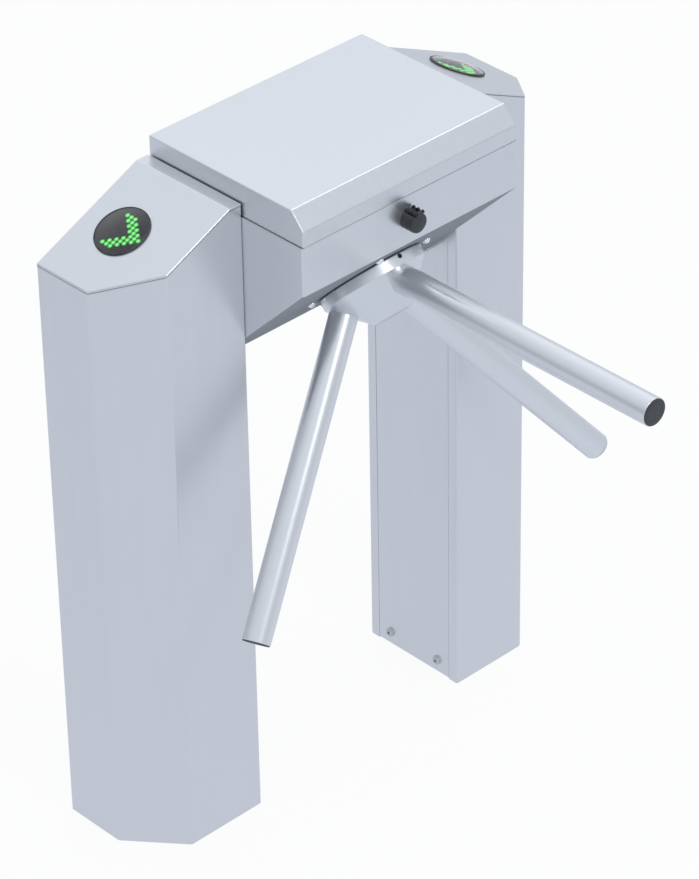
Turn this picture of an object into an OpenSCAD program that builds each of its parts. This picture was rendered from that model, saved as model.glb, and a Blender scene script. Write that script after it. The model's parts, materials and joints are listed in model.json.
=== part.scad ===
// Waist-high tripod turnstile: two sheet-metal legs, a bridge housing and a three-armed rotor.
// Origin on the floor, midway between the legs and at the middle of their depth. Millimetres.
// X runs along the bridge, -Y is the side the arms reach into, Z is up.
// The rotor shaft leans forward and down, so that the uppermost arm lies level.

/* [Legs] */
// Clear length of the bridge between the two legs
bridge_l = 394; // [380:2:460]
// Width of each leg along the bridge
leg_w = 200; // [190:1:225]
// Depth of each leg from front to back
leg_d = 181; // [176:1:195]
// Height of a leg beside the housing
leg_inner_h = 992; // [880:2:1100]
// Fall of the cap from the housing to the leg's outer face
cap_fall = 82; // [60:1:100]
// Level strip of the cap beside the housing
cap_flat_w = 21; // [15:1:30]
// Cut corner of the leg, along the bridge
corner_x = 67; // [55:1:75]
// Cut corner of the leg, front to back
corner_y = 80; // [65:1:90]
// Depth of the cap's edge below its top face
cap_skirt_h = 3; // [2.5:0.5:16]
// Open joint between the leg and its cap
cap_joint = 1.2; // [0.8:0.1:2]
// Thickness of every folded sheet
sheet_t = 2; // [1.5:0.25:2.5]
// Thickness of the floor plate inside each leg
base_t = 8; // [6:1:12]

/* [Floor anchors] */
// Diameter of an anchor hole
anchor_d = 14; // [10:0.5:18]
// Distance from the leg's inner face to the first row of anchors
anchor_x = 45; // [40:1:55]
// Spacing of the anchors along the bridge
anchor_sx = 85; // [70:1:90]
// Spacing of the anchors front to back
anchor_sy = 120; // [100:1:124]
// Diameter of the cable entry in each floor plate
cable_entry_d = 50; // [30:1:55]

/* [Service panels] */
// Strip of leg left on each side of a service panel
panel_margin = 17.5; // [16:0.5:22]
// Open joint round a service panel
panel_gap = 1; // [0.6:0.1:1.5]
// Height of the panel's lower edge above the floor
panel_foot = 2; // [1:0.5:4]
// Height of the panel bolts above the floor
panel_bolt_z = 22; // [20:1:26]
// Spacing of the two panel bolts
panel_bolt_s = 98; // [80:1:104]
// Diameter of a panel bolt's head
panel_bolt_head_d = 11; // [9:0.5:12]

/* [Housing] */
// Depth of the housing and lid from front to back
housing_d = 295; // [289:1:305]
// Depth of the housing's upper edge below the tops of the legs
seam_drop = 21; // [17:0.5:25]
// Height of the housing's front face
front_h = 73; // [67:1:80]
// Height of the slanting underside, equal to its depth
slope_drop = 173; // [168:1:180]
// Height of the lid above the housing's upper edge
lid_h = 49; // [42:1:59]
// Open joint between the housing and the lid
seam_gap = 1.2; // [0.8:0.1:2]
// Open joint between the lid's ends and the legs
lid_gap = 2; // [1.5:0.25:3]
// Bevel along the lid's front edge, measured back
bevel_back = 22; // [15:1:30]
// Bevel along the lid's front edge, measured down
bevel_drop = 25; // [18:1:30]
// Height of the folded rim that the lid closes over
rim_h = 6; // [4:0.5:9]
// Clearance between that rim and the lid
rim_gap = 0.6; // [0.5:0.1:1]

/* [Lid hinges] */
// Length of one hinge
hinge_l = 60; // [45:1:80]
// Distance of each hinge from the middle of the lid
hinge_x = 120; // [90:1:135]
// Diameter of the hinge barrel
barrel_d = 9; // [8:0.5:11]
// Diameter of the hinge pin
hinge_pin_d = 4; // [3:0.25:5]
// Height of a hinge leaf
leaf_h = 28; // [22:1:34]
// Thickness of a hinge leaf
leaf_t = 2; // [1.5:0.25:2.5]

/* [Rotor] */
// Distance of the hub's centre from the front lower edge, measured down and back
hub_drop = 83; // [80:1:86]
// Radius of the hub's cylindrical band
hub_r = 78; // [77:0.5:80]
// Height of that band above the housing
hub_band_h = 17; // [14:1:19]
// Height of the hub's flat end above the housing
hub_h = 67; // [62:1:72]
// Running gap between the hub and the housing
hub_gap = 1.5; // [0.8:0.1:2]
// Depth behind the housing's surface at which the arms' centre lines meet
arm_meet = 25; // [23:1:27]
// Distance from that point to the outer face of an arm's cap
arm_reach = 538; // [450:2:600]
// Outer diameter of an arm
arm_d = 40; // [38:0.5:42]
// Wall of the arm's tube
arm_wall = 2; // [1.5:0.25:3]
// Distance from the meeting point to the root of the tube in the hub
arm_seat = 62; // [61:0.5:66]
// Length of the solid plug in the root of an arm
arm_plug_l = 25; // [15:1:40]
// Thickness of the arm cap's visible disc
cap_disc_t = 2; // [1:0.25:4]
// Length of the arm cap's plug inside the tube
cap_plug_l = 16; // [10:1:25]
// Diameter of the set screw that holds an arm
set_screw_d = 6; // [5:0.5:8]
// Height of the set screws above the housing
set_screw_h = 6; // [5.5:0.25:7]

/* [Shaft and bearings] */
// Diameter of the rotor's shaft
shaft_d = 30; // [28:1:34]
// Depth of the shaft's seat in the hub
shaft_seat = 45; // [35:1:50]
// Step of the shaft that the front bearing leans on
shoulder_step = 4; // [3:0.5:5]
// Radial thickness of a bearing, from bore to rim
bearing_section = 12.5; // [12:0.25:14]
// Width of a bearing
bearing_w = 13; // [11:0.5:15]
// Diameter of a bearing ball
ball_d = 8; // [7:0.25:8.5]
// Balls in each bearing
ball_n = 9; // [7:1:11]
// Length of the bearing housing
bearing_housing_l = 65; // [60:1:75]
// Wall of the bearing housing round its bearings
bearing_wall = 12; // [9:0.5:14]
// Thickness of the bearing housing's flange
flange_t = 10; // [8:1:14]
// Width of that flange beyond the barrel
flange_w = 22; // [20:1:26]

/* [Locking mechanism] */
// Thickness of the plate that stiffens the slanting underside
mech_t = 8; // [6:0.5:10]
// Distance of the mechanism plates from the ends of the bridge
mech_side = 25; // [22:1:30]
// Gap between the bearing housing and the pawl plate
pawl_plate_gap = 5; // [3:0.5:8]
// Thickness of the pawl plate
pawl_plate_t = 6; // [5:0.5:8]
// Distance from the pawl plate to the middle of the index disc
lock_plane = 19; // [18:0.5:21]
// Radius of the index disc
disc_r = 75; // [73:0.5:76]
// Thickness of the index disc
disc_t = 10; // [8:0.5:12]
// Number of notches in the index disc
notch_n = 6; // [6]
// Width of a notch
notch_w = 20; // [19:0.5:24]
// Depth of a notch
notch_depth = 10; // [9:0.5:12]
// Thickness of a pawl
pawl_t = 8; // [6:0.5:9]
// Width of a pawl's tooth
tooth_w = 12; // [10:0.5:13]
// Diameter of a pawl's pivot pin
pivot_d = 10; // [8:0.5:12]
// Angle that a pawl turns through to enter its notch
pawl_throw = 10; // [10:0.25:10.5]
// Diameter of a solenoid's push rod
rod_d = 8; // [7:0.5:9]
// Distance of a solenoid's outer end from the end of the bridge
solenoid_side = 28; // [26:1:34]
// Radius of the slotted sensor disc
sensor_r = 45; // [40:1:50]

/* [Key lock] */
// Sideways place of the lock on the front face
lock_x = -7; // [-12:1:2]
// Depth of the lock's centre below the housing's upper edge
lock_drop = 33.5; // [32:0.5:37]
// Diameter of the lock's black collar
lock_d = 29; // [27:0.5:31]
// Distance that the collar stands out of the front face
lock_proud = 17.5; // [14:0.5:20]
// Diameter of the lock's threaded tail
lock_tail_d = 19; // [17:0.5:21]
// Diameter of the turning plug
plug_d = 13; // [11:0.5:14]
// Length of the cam from the lock's centre to its tip
cam_l = 31; // [29:1:33]

/* [Direction indicators] */
// Radius of an indicator's black bezel
ind_r = 40; // [37:0.5:42]
// Distance of an indicator from the leg's inner face
ind_x = 111; // [105:1:115]
// Distance of an indicator behind the leg's middle
ind_y = 19; // [12:1:24]
// Height of the bezel above the cap
bezel_h = 3; // [2:0.25:4]
// Spacing of the lamps front to back
led_pitch = 7; // [6.6:0.1:7.2]
// Spacing of the rows of lamps along the slope
row_pitch = 6.1; // [5.6:0.1:6.4]
// Diameter of one lamp
led_d = 5; // [4:0.25:5.5]

/* [Hidden] */
$fn = 64;

// Overrun of every cut, clearance of a running fit and clearance of a loose seat
over = 5;
run_gap = 0.05;
seat_gap = 0.2;
free_gap = 0.4;

// Lean of the slanting underside, and the half angle where it meets its neighbours
tilt = 45;
fold = tan(tilt / 2);

// Places of the legs and the housing
xi = bridge_l / 2;
xo = xi + leg_w;
leg_outer_h = leg_inner_h - cap_fall;
seam_z = leg_inner_h - seam_drop;
front_bottom_z = seam_z - front_h;
lid_top_z = seam_z + lid_h;
lock_z = seam_z - lock_drop;
back_y = leg_d / 2;
front_y = back_y - housing_d;
foot_y = front_y + slope_drop;
housing_bottom_z = front_bottom_z - slope_drop;
roof_a = atan((leg_inner_h - leg_outer_h) / (leg_w - cap_flat_w));
lid_x = xi - lid_gap;
lid_z = seam_z + seam_gap;

// Service panels
panel_w = leg_d - 2 * panel_margin;
panel_top_gap = 2;
rail_w = 12;
low_rail_z = panel_bolt_z + rail_w;
panel_bolt_d = 6;
panel_bolt_head_h = 4;
panel_bolt_l = 12;

// Collar that carries a cap, below the open joint
collar_lap = 12;

// Bolts between the housing and the legs
side_bolt_d = 8;
side_bolt_hole_d = 9;
side_bolt_head_r = 7.5;
side_bolt_head_h = 5.3;
side_nut_h = 6.5;
side_bolt_l = 9;
side_bolt_y = 60;
side_bolt_low = 75;
side_bolt_high = 31;
side_bolt_low_z = housing_bottom_z + side_bolt_low;
side_bolt_high_z = seam_z - side_bolt_high;

// Cable glands between the housing and the legs
gland_back = 40.5;
gland_y = back_y - gland_back;
gland_low = 35;
gland_z = housing_bottom_z + gland_low;
gland_r = 9;
gland_bore_r = 5;
gland_flange_r = 12;
gland_flange_t = 8;
gland_nut_t = 5;
gland_tail = 10;

// Rim of the housing
rim_x = lid_x - sheet_t - rim_gap;
rim_front_y = front_y + sheet_t + rim_gap;
rim_back_y = back_y - sheet_t - rim_gap;

// Hinges of the lid
hinge_y = back_y + barrel_d / 2 + free_gap;
hinge_z = seam_z + seam_gap / 2;
knuckle_l = hinge_l / 3;

// Hub and arms
hub_y = front_y + hub_drop;
hub_z = front_bottom_z - hub_drop;
hub_end_r = hub_r - (hub_h - hub_band_h);
hub_edge = 1;
arm_r = arm_d / 2;
arm_tilt = 90 - tilt;
arm_phase = 90;
arm_n = 3;
cap_rim = 1;
set_screw_inner = set_screw_h + set_screw_d / 2 + arm_meet + arm_r * sqrt(2) + seat_gap;
set_screw_sunk = 1.5;

// Stack along the shaft, as depths behind the housing's slanting surface
shaft_r = shaft_d / 2;
shoulder_r = shaft_r + shoulder_step;
shaft_hole_gap = 2;
shaft_hole_r = shoulder_r + shaft_hole_gap;
mech_back = sheet_t + mech_t;
bearing_r = shaft_r + bearing_section;
bearing_mid_r = shaft_r + bearing_section / 2;
race_step = 2.25;
bearing_end = mech_back + bearing_housing_l;
bearing_seat_step = 3;
middle_bore_r = bearing_r - bearing_seat_step;
barrel_r = bearing_r + bearing_wall;
flange_r = barrel_r + flange_w;
pawl_plate_front = bearing_end + pawl_plate_gap;
pawl_plate_back = pawl_plate_front + pawl_plate_t;
lock_depth = pawl_plate_back + lock_plane;
disc_front = lock_depth - disc_t / 2;
disc_back = lock_depth + disc_t / 2;
disc_lip_w = 3;
disc_lip_r = shaft_r + disc_lip_w;
disc_lip = 2;
disc_boss_w = 10;
disc_boss_r = shaft_r + disc_boss_w;
disc_spacer = 6;
sensor_disc_front = disc_back + disc_spacer;
sensor_disc_t = 2;
sensor_disc_back = sensor_disc_front + sensor_disc_t;
nut_w = 11;
nut_r = shaft_r + nut_w;
nut_t = 12;
shaft_tail = 4;
shaft_end = sensor_disc_back + nut_t + shaft_tail;

// Bolts of the bearing housing
flange_bolt_r = 4;
flange_bolt_ring = (barrel_r + flange_r) / 2;
flange_bolt_head_r = 6.5;
flange_bolt_head_h = 5.3;
flange_bolt_n = 4;
bolt_tip_gap = 1;

// Mechanism plate and its dome-head screws, in the plane of the slanting underside
mech_w = bridge_l - 2 * mech_side;
mech_front_gap = 17.4;
mech_back_gap = 22.3;
mech_high = hub_drop * sqrt(2) - mech_front_gap;
mech_low = mech_back_gap - (slope_drop - hub_drop) * sqrt(2);
plate_screw_ring = 90;
plate_screw_angle = 23.7;
plate_screw_n = 4;
plate_screw_r = 3;
plate_screw_head_r = 6;
plate_screw_head_h = 5;

// Pawl plate and its posts
pawl_plate_low = -85;
pawl_plate_high = 95;
boss_gap = 5;
pawl_plate_bore_r = disc_boss_r + boss_gap;
post_r = 7;
post_stud_r = 4;
post_high = 72;
post_low = -68;
post_nut_r = 7;
post_nut_t = 5;

// Pawls, drawn engaged, then turned back to rest
tooth_gap = 2;
tooth_depth = notch_depth - tooth_gap;
tooth_tip_x = disc_r - tooth_depth;
pawl_gap = 5;
pawl_inner_x = disc_r + pawl_gap;
pawl_w = 15;
pawl_outer_x = pawl_inner_x + pawl_w;
pivot_inset = 6;
pivot_x = pawl_inner_x + pivot_inset;
pivot_y = -58;
post_beside = 26;
post_x = pivot_x + post_beside;
pawl_boss_w = 6;
pawl_boss_r = pivot_d / 2 + pawl_boss_w;
pawl_top_w = 2;
pawl_top = tooth_w / 2 + pawl_top_w;
pawl_heel_w = 8;
pawl_heel = pivot_y + pawl_heel_w;
shoulder_pad_w = 4;
shoulder_pad_r = pivot_d / 2 + shoulder_pad_w;
clip_w = 3;
clip_r = pivot_d / 2 + clip_w;
clip_t = 1.2;
pivot_tail = 3;
pawl_front = lock_depth - pawl_t / 2;
pawl_back = lock_depth + pawl_t / 2;

// Push rods: the rod's round end stays free_gap away from the pawl's back
rod_r = rod_d / 2;
pawl_arm = pawl_outer_x - pivot_x;
rod_rest_x = pivot_x + (pawl_arm + rod_r + free_gap) / cos(pawl_throw) - pivot_y * tan(pawl_throw);
rod_stub = 9;
rod_back_gap = 6;
solenoid_x = rod_rest_x + rod_stub;
solenoid_l = xi - solenoid_side - solenoid_x;
solenoid_end = 11;
bracket_lead = 24;
rod_tail = rod_stub + solenoid_l - solenoid_end - rod_back_gap;
bracket_t = 2;
solenoid_half = lock_plane - bracket_t;
bracket_half = 26;

// Position sensor over the edge of its disc
slot_n = 12;
slot_w = 3;
slot_depth = 7;
slot_edge = 3;
sensor_half = 10;
sensor_gap = 1;
sensor_jaw = 3;
sensor_reach = 8;
sensor_back = 12;
sensor_front = sensor_disc_front - sensor_gap - sensor_jaw;
sensor_rear = sensor_disc_back + sensor_gap + sensor_jaw;
sensor_post = disc_r + boss_gap;
sensor_foot = 10;

// Control board on the rear wall and power supply on the floor of the housing
board_side = 67;
board_x = board_side - xi;
board_w = 160;
board_h = 120;
board_t = 1.6;
board_low = 65;
board_z = housing_bottom_z + board_low;
board_stand = 8;
board_margin = 6;
standoff_r = 3.5;
board_y = back_y - sheet_t - board_stand - board_t;
terminal_h = 12;
terminal_w = 90;
relay_s = 22;
relay_h = 16;
relay_n = 3;
supply_l = 120;
supply_side = 27;
supply_x = xi - supply_side - supply_l;
supply_w = 50;
supply_back = 20.5;
supply_y = back_y - supply_back - supply_w;
supply_h = 40;

// Key lock: the cam rests pointing up and turns sideways over the lid's keeper
lock_front_y = front_y - lock_proud;
lock_tail_l = 26;
lock_nut_r = 14;
lock_nut_t = 6;
plug_tail = 3;
cam_w = 14;
cam_t = 3;
cam_y = front_y + lock_tail_l + free_gap;
cover_step = 0.5;
cover_relief = 2;
cover_r = lock_d / 2 - cover_step;
cover_t = 3;
cover_pin_r = 1.2;
cover_barrel_r = 2.6;
cover_tongue = 4;
cover_ear_t = 3.5;
cover_axis_y = lock_front_y - cover_barrel_r - free_gap;
cover_axis_up = 1;
cover_axis_z = lock_z + lock_d / 2 + cover_axis_up;
keeper_x = 17;
keeper_w = 12;
keeper_t = 2;
keeper_tab = 8;
keeper_drop = 10;
keeper_gap = 1;

// Direction indicators
ind_seat = 1.5;
ind_wall = 1;
ind_barrel_l = 10;
ind_shelf = 1;
ind_rim_w = 1.3;
lens_sunk = 0.2;
lens_t = bezel_h - ind_shelf - lens_sunk;
led_board_t = 1.6;
led_board_depth = 6;
led_rows = 4;
led_depth = 3;
led_front = 34.5;
led_side = 3.3;

// Corners of a closed outline moved inwards by t; the outline runs anticlockwise
function inset(p, t) = [for (i = [0 : len(p) - 1])
    let (a = p[(i + len(p) - 1) % len(p)], b = p[i], c = p[(i + 1) % len(p)])
    let (u = (b - a) / norm(b - a), v = (c - b) / norm(c - b))
    let (m = [-u[1], u[0]], n = [-v[1], v[0]])
    b + t * (m + n) / (1 + m * n)];

// Plan of the far leg, t inside its faces
function leg_plan(t) = inset([[xi, -back_y], [xo - corner_x, -back_y], [xo, -back_y + corner_y],
    [xo, back_y], [xi, back_y]], t);

// Side view of the space under the far leg's roof, lowered by t square to the roof
function roof_side(t, base) =
    let (knee = xi + cap_flat_w - t * tan(roof_a / 2), top = leg_inner_h - t, end = xo + over)
    [[xi - over, base], [end, base], [end, top - (end - knee) * tan(roof_a)], [knee, top],
    [xi - over, top]];

// Section of the housing, t inside its faces, open at the given height
function housing_side(t, top) = [[front_y + t, top], [front_y + t, front_bottom_z + t * fold],
    [foot_y + t * fold, housing_bottom_z + t], [back_y - t, housing_bottom_z + t], [back_y - t, top]];

// Section of the lid from its lower edge up
function lid_side(low) = [[front_y, low], [back_y, low], [back_y, lid_top_z],
    [front_y + bevel_back, lid_top_z], [front_y, lid_top_z - bevel_drop]];

// Outline of a service panel, grown by g on every side; its top follows the housing's underside
function panel_side(g) =
    let (top = housing_bottom_z - panel_top_gap, knee = foot_y - panel_top_gap * fold)
    inset([[-panel_w / 2, panel_foot], [panel_w / 2, panel_foot], [panel_w / 2, top], [knee, top],
    [-panel_w / 2, top + knee + panel_w / 2]], -g);

// Outline of the far pawl about its pivot, with its tooth in the notch
function pawl_outline() = [for (q = [[tooth_tip_x, -tooth_w / 2], [pawl_inner_x, -tooth_w / 2],
    [pawl_inner_x, pawl_heel], [pawl_outer_x, pawl_heel], [pawl_outer_x, pawl_top],
    [pawl_inner_x, pawl_top], [pawl_inner_x, tooth_w / 2], [tooth_tip_x, tooth_w / 2]])
    q - [pivot_x, pivot_y]];

// An outline in Y and Z carried along X
module along_x(from, to, outline) {
    translate([from, 0, 0]) rotate([90, 0, 90]) linear_extrude(to - from) polygon(outline);
}

// An outline in X and Z carried along Y
module along_y(from, to, outline) {
    translate([0, to, 0]) rotate([90, 0, 0]) linear_extrude(to - from) polygon(outline);
}

// A block between two corners
module block(low, high) {
    translate(low) cube(high - low);
}

// A rod along X, Y or Z between two places on that axis
module rod_x(r, from, to) {
    translate([from, 0, 0]) rotate([0, 90, 0]) cylinder(r = r, h = to - from);
}

module rod_y(r, from, to) {
    translate([0, to, 0]) rotate([90, 0, 0]) cylinder(r = r, h = to - from);
}

module rod_z(r, from, to) {
    translate([0, 0, from]) cylinder(r = r, h = to - from);
}

// Everything drawn for the far side, moved to the near side
module near() {
    mirror([1, 0, 0]) children();
}

// The same piece on both sides
module both() {
    children();
    near() children();
}

// Frame of the slanting underside: Z points out along the shaft, X along the bridge
module on_slope() {
    translate([0, hub_y, hub_z]) rotate([180 - tilt, 0, 0]) children();
}

// Frame of arm k: Z runs along the arm from the point where the arms' centre lines meet
module on_arm(k) {
    on_slope() rotate([0, 0, arm_phase + k * 360 / arm_n]) translate([0, 0, -arm_meet])
        rotate([0, arm_tilt, 0]) children();
}

// Frame of the far cap's slope at the indicator's centre
module on_roof() {
    translate([xi + ind_x, ind_y, leg_inner_h - (ind_x - cap_flat_w) * tan(roof_a)])
        rotate([0, roof_a, 0]) children();
}

// A low dome head that starts at Z 0
module dome(r, h) {
    ball = (r * r + h * h) / (2 * h);
    rotate_extrude() intersection() {
        translate([0, h - ball]) circle(r = ball);
        square([r, h]);
    }
}

// The full height of the far leg, t inside its faces
module leg_core(t, base) {
    translate([0, 0, base]) linear_extrude(leg_inner_h + over - base) polygon(leg_plan(t));
}

// Everything below the far leg's roof lowered by t
module roof_space(t, base) {
    along_y(-leg_d, leg_d, roof_side(t, base));
}

// Places of the side bolts, of the glands and of the panel bolts on the far inner face
module at_side_bolts() {
    for (y = [-side_bolt_y, side_bolt_y], z = [side_bolt_low_z, side_bolt_high_z])
        translate([0, y, z]) children();
}

module at_gland() {
    translate([0, gland_y, gland_z]) children();
}

module at_panel_bolts() {
    for (s = [-1, 1]) translate([0, s * panel_bolt_s / 2, panel_bolt_z]) children();
}

// A leg: folded shell, collar for the cap and frame behind the service panel
module leg() {
    color("lightsteelblue") difference() {
        union() {
            difference() {
                intersection() {
                    leg_core(0, 0);
                    roof_space(cap_skirt_h + cap_joint, 0);
                }
                leg_core(sheet_t, -over);
            }
            difference() {
                intersection() {
                    leg_core(sheet_t, 0);
                    roof_space(sheet_t, 0);
                }
                leg_core(2 * sheet_t, -over);
                roof_space(cap_skirt_h + cap_joint + collar_lap, -over);
            }
            difference() {
                intersection() {
                    along_x(xi + sheet_t / 2, xi + 2 * sheet_t, panel_side(rail_w));
                    leg_core(sheet_t / 2, base_t + seat_gap);
                }
                difference() {
                    along_x(xi, xi + leg_w, panel_side(-rail_w));
                    block([xi, -back_y, 0], [xo, back_y, low_rail_z]);
                }
            }
        }
        along_x(xi - over, xi + sheet_t, panel_side(panel_gap));
        block([xi - over, -panel_w / 2 - panel_gap, -over],
            [xi + sheet_t, panel_w / 2 + panel_gap, panel_foot + over]);
        at_side_bolts() rod_x(side_bolt_hole_d / 2, xi - over, xi + over);
        at_gland() rod_x(gland_r, xi - over, xi + over);
        at_panel_bolts() rod_x(panel_bolt_d / 2, xi, xi + leg_w / 2);
    }
}

// A sloping cap with its folded edge, bored for the indicator
module leg_cap() {
    color("lavender") difference() {
        intersection() {
            leg_core(0, 0);
            roof_space(0, 0);
        }
        roof_space(cap_skirt_h, -over);
        intersection() {
            leg_core(sheet_t, -over);
            roof_space(sheet_t, -over);
        }
        on_roof() rod_z(ind_r - ind_seat, -ind_barrel_l, over);
    }
}

// The floor plate that the anchors clamp
module base_plate() {
    color("slategray") difference() {
        intersection() {
            linear_extrude(base_t) polygon(leg_plan(sheet_t + seat_gap));
            block([xi + 2 * sheet_t + seat_gap, -leg_d, 0], [xo, leg_d, base_t]);
        }
        for (i = [0, 1], s = [-1, 1])
            translate([xi + anchor_x + i * anchor_sx, s * anchor_sy / 2, 0])
                rod_z(anchor_d / 2, -over, base_t + over);
        translate([xi + anchor_x + anchor_sx / 2, 0, 0]) rod_z(cable_entry_d / 2, -over, base_t + over);
    }
}

// The cover over the leg's inner side
module service_panel() {
    color("lightsteelblue") difference() {
        along_x(xi, xi + sheet_t, panel_side(0));
        at_panel_bolts() rod_x(panel_bolt_d / 2 + seat_gap, xi - over, xi + over);
    }
}

// Round-head bolts at the foot of a service panel
module panel_bolts() {
    color("silver") at_panel_bolts() union() {
        translate([xi, 0, 0]) rotate([0, -90, 0]) dome(panel_bolt_head_d / 2, panel_bolt_head_h);
        rod_x(panel_bolt_d / 2, xi, xi + panel_bolt_l);
    }
}

// The indicator's black ring and barrel
module indicator_bezel() {
    outer = ind_r - ind_seat - seat_gap;
    inner = outer - ind_wall;
    color("black") on_roof() rotate_extrude() polygon([[inner, -ind_barrel_l], [outer, -ind_barrel_l],
        [outer, 0], [ind_r, 0], [ind_r, bezel_h], [ind_r - ind_rim_w, bezel_h],
        [ind_r - ind_rim_w, ind_shelf], [inner, ind_shelf]]);
}

// The indicator's dark window
module indicator_lens() {
    color("darkslategray") on_roof() rod_z(ind_r - ind_rim_w - seat_gap, ind_shelf, ind_shelf + lens_t);
}

// Lamps in an arrowhead of rows on a round board; the arrow points to the front
module lamp_board() {
    r = ind_r - ind_seat - seat_gap - ind_wall;
    color("limegreen") on_roof() union() {
        rod_z(r, -led_board_depth, led_board_t - led_board_depth);
        for (k = [-led_rows : led_rows], j = [0 : led_depth - 1])
            translate([led_side + k * row_pitch, (abs(k) + j) * led_pitch - led_front, 0])
                rod_z(led_d / 2, -led_board_depth, ind_shelf - seat_gap);
    }
}

// The folded trough between the legs, with the rim under the lid
module housing_body() {
    color("lightsteelblue") difference() {
        union() {
            difference() {
                along_x(-xi, xi, housing_side(0, seam_z));
                along_x(sheet_t - xi, xi - sheet_t, housing_side(sheet_t, seam_z + over));
            }
            difference() {
                union() {
                    block([-rim_x, rim_front_y, seam_z - rim_h], [rim_x, rim_back_y, seam_z + rim_h]);
                    block([sheet_t / 2 - xi, front_y + sheet_t / 2, seam_z - rim_h],
                        [xi - sheet_t / 2, back_y - sheet_t / 2, seam_z - rim_h + sheet_t]);
                }
                block([sheet_t - rim_x, rim_front_y + sheet_t, seam_z - rim_h - over],
                    [rim_x - sheet_t, rim_back_y - sheet_t, seam_z + rim_h + over]);
            }
        }
        on_slope() rod_z(shaft_hole_r, -over, over);
        at_plate_screws() rod_z(plate_screw_r + seat_gap, -over, over);
        translate([lock_x, 0, lock_z]) rod_y(lock_tail_d / 2, front_y - over, front_y + over);
        both() at_side_bolts() rod_x(side_bolt_hole_d / 2, xi - over, xi + over);
        both() at_gland() rod_x(gland_r, xi - over, xi + over);
    }
}

// Bolts and nuts that clamp the housing to the legs
module housing_bolts() {
    color("silver") both() at_side_bolts() union() {
        rod_x(side_bolt_d / 2, xi - sheet_t, xi + sheet_t + side_bolt_l);
        translate([xi - sheet_t - side_bolt_head_h, 0, 0]) rotate([0, 90, 0])
            cylinder(r = side_bolt_head_r, h = side_bolt_head_h, $fn = 6);
    }
}

module housing_nuts() {
    color("silver") both() at_side_bolts() difference() {
        translate([xi + sheet_t, 0, 0]) rotate([0, 90, 0])
            cylinder(r = side_bolt_head_r, h = side_nut_h, $fn = 6);
        rod_x(side_bolt_d / 2, xi, xi + sheet_t + side_nut_h + over);
    }
}

// The thick plate behind the slanting underside
module mechanism_plate() {
    color("gray") difference() {
        on_slope() block([-mech_w / 2, mech_low, -mech_back], [mech_w / 2, mech_high, -sheet_t]);
        on_slope() rod_z(shaft_hole_r, -mech_back - over, over);
        at_plate_screws() rod_z(plate_screw_r, -mech_back - over, over);
        at_flange_bolts() rod_z(flange_bolt_r, -mech_back - over, -sheet_t - bolt_tip_gap);
        at_posts() rod_z(post_stud_r, -mech_back - over, -sheet_t - bolt_tip_gap);
    }
}

module at_plate_screws() {
    for (i = [0 : plate_screw_n - 1])
        on_slope() rotate([0, 0, plate_screw_angle + i * 360 / plate_screw_n])
            translate([plate_screw_ring, 0, 0]) children();
}

module at_flange_bolts() {
    for (i = [0 : flange_bolt_n - 1])
        on_slope() rotate([0, 0, (i + 1 / 2) * 360 / flange_bolt_n])
            translate([flange_bolt_ring, 0, 0]) children();
}

module at_posts() {
    for (s = [-1, 1], y = [post_low, post_high]) on_slope() translate([s * post_x, y, 0]) children();
}

// Dome-head screws that show round the hub
module plate_screws() {
    color("white") at_plate_screws() union() {
        dome(plate_screw_head_r, plate_screw_head_h);
        rod_z(plate_screw_r, -mech_back, 0);
    }
}

// The flanged barrel that carries the shaft's two bearings
module bearing_housing() {
    color("dimgray") difference() {
        on_slope() rotate_extrude() polygon([[middle_bore_r, -bearing_end + bearing_w],
            [bearing_r, -bearing_end + bearing_w], [bearing_r, -bearing_end], [barrel_r, -bearing_end],
            [barrel_r, -mech_back - flange_t], [flange_r, -mech_back - flange_t],
            [flange_r, -mech_back], [bearing_r, -mech_back], [bearing_r, -mech_back - bearing_w],
            [middle_bore_r, -mech_back - bearing_w]]);
        at_flange_bolts() rod_z(flange_bolt_r + seat_gap, -mech_back - flange_t - over, 0);
    }
}

module bearing_housing_bolts() {
    head = mech_back + flange_t;
    color("silver") at_flange_bolts() union() {
        rod_z(flange_bolt_r, -head, -sheet_t - bolt_tip_gap);
        translate([0, 0, -head - flange_bolt_head_h])
            cylinder(r = flange_bolt_head_r, h = flange_bolt_head_h, $fn = 6);
    }
}

// Middle planes of the two bearings
module at_bearings() {
    for (d = [mech_back + bearing_w / 2, bearing_end - bearing_w / 2])
        on_slope() translate([0, 0, -d]) children();
}

// A ring between two radii with the groove that the balls run in
module race(inner, outer) {
    rotate_extrude() difference() {
        translate([inner, -bearing_w / 2]) square([outer - inner, bearing_w]);
        translate([bearing_mid_r, 0]) circle(r = ball_d / 2 + run_gap);
    }
}

module bearing_outer_rings() {
    color("lightgray") at_bearings() race(bearing_mid_r + race_step, bearing_r);
}

module bearing_inner_rings() {
    color("lightgray") at_bearings() race(shaft_r, bearing_mid_r - race_step);
}

module bearing_balls() {
    color("white") at_bearings() for (i = [0 : ball_n - 1])
        rotate([0, 0, i * 360 / ball_n]) translate([bearing_mid_r, 0, 0]) sphere(d = ball_d);
}

// Posts that hold the pawl plate clear of the bearing housing, with their nuts
module support_posts() {
    color("silver") at_posts() union() {
        rod_z(post_r, -pawl_plate_front, -mech_back);
        rod_z(post_stud_r, -pawl_plate_back - post_nut_t, -sheet_t - bolt_tip_gap);
        translate([0, 0, -pawl_plate_back - post_nut_t])
            cylinder(r = post_nut_r, h = post_nut_t, $fn = 6);
    }
}

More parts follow.
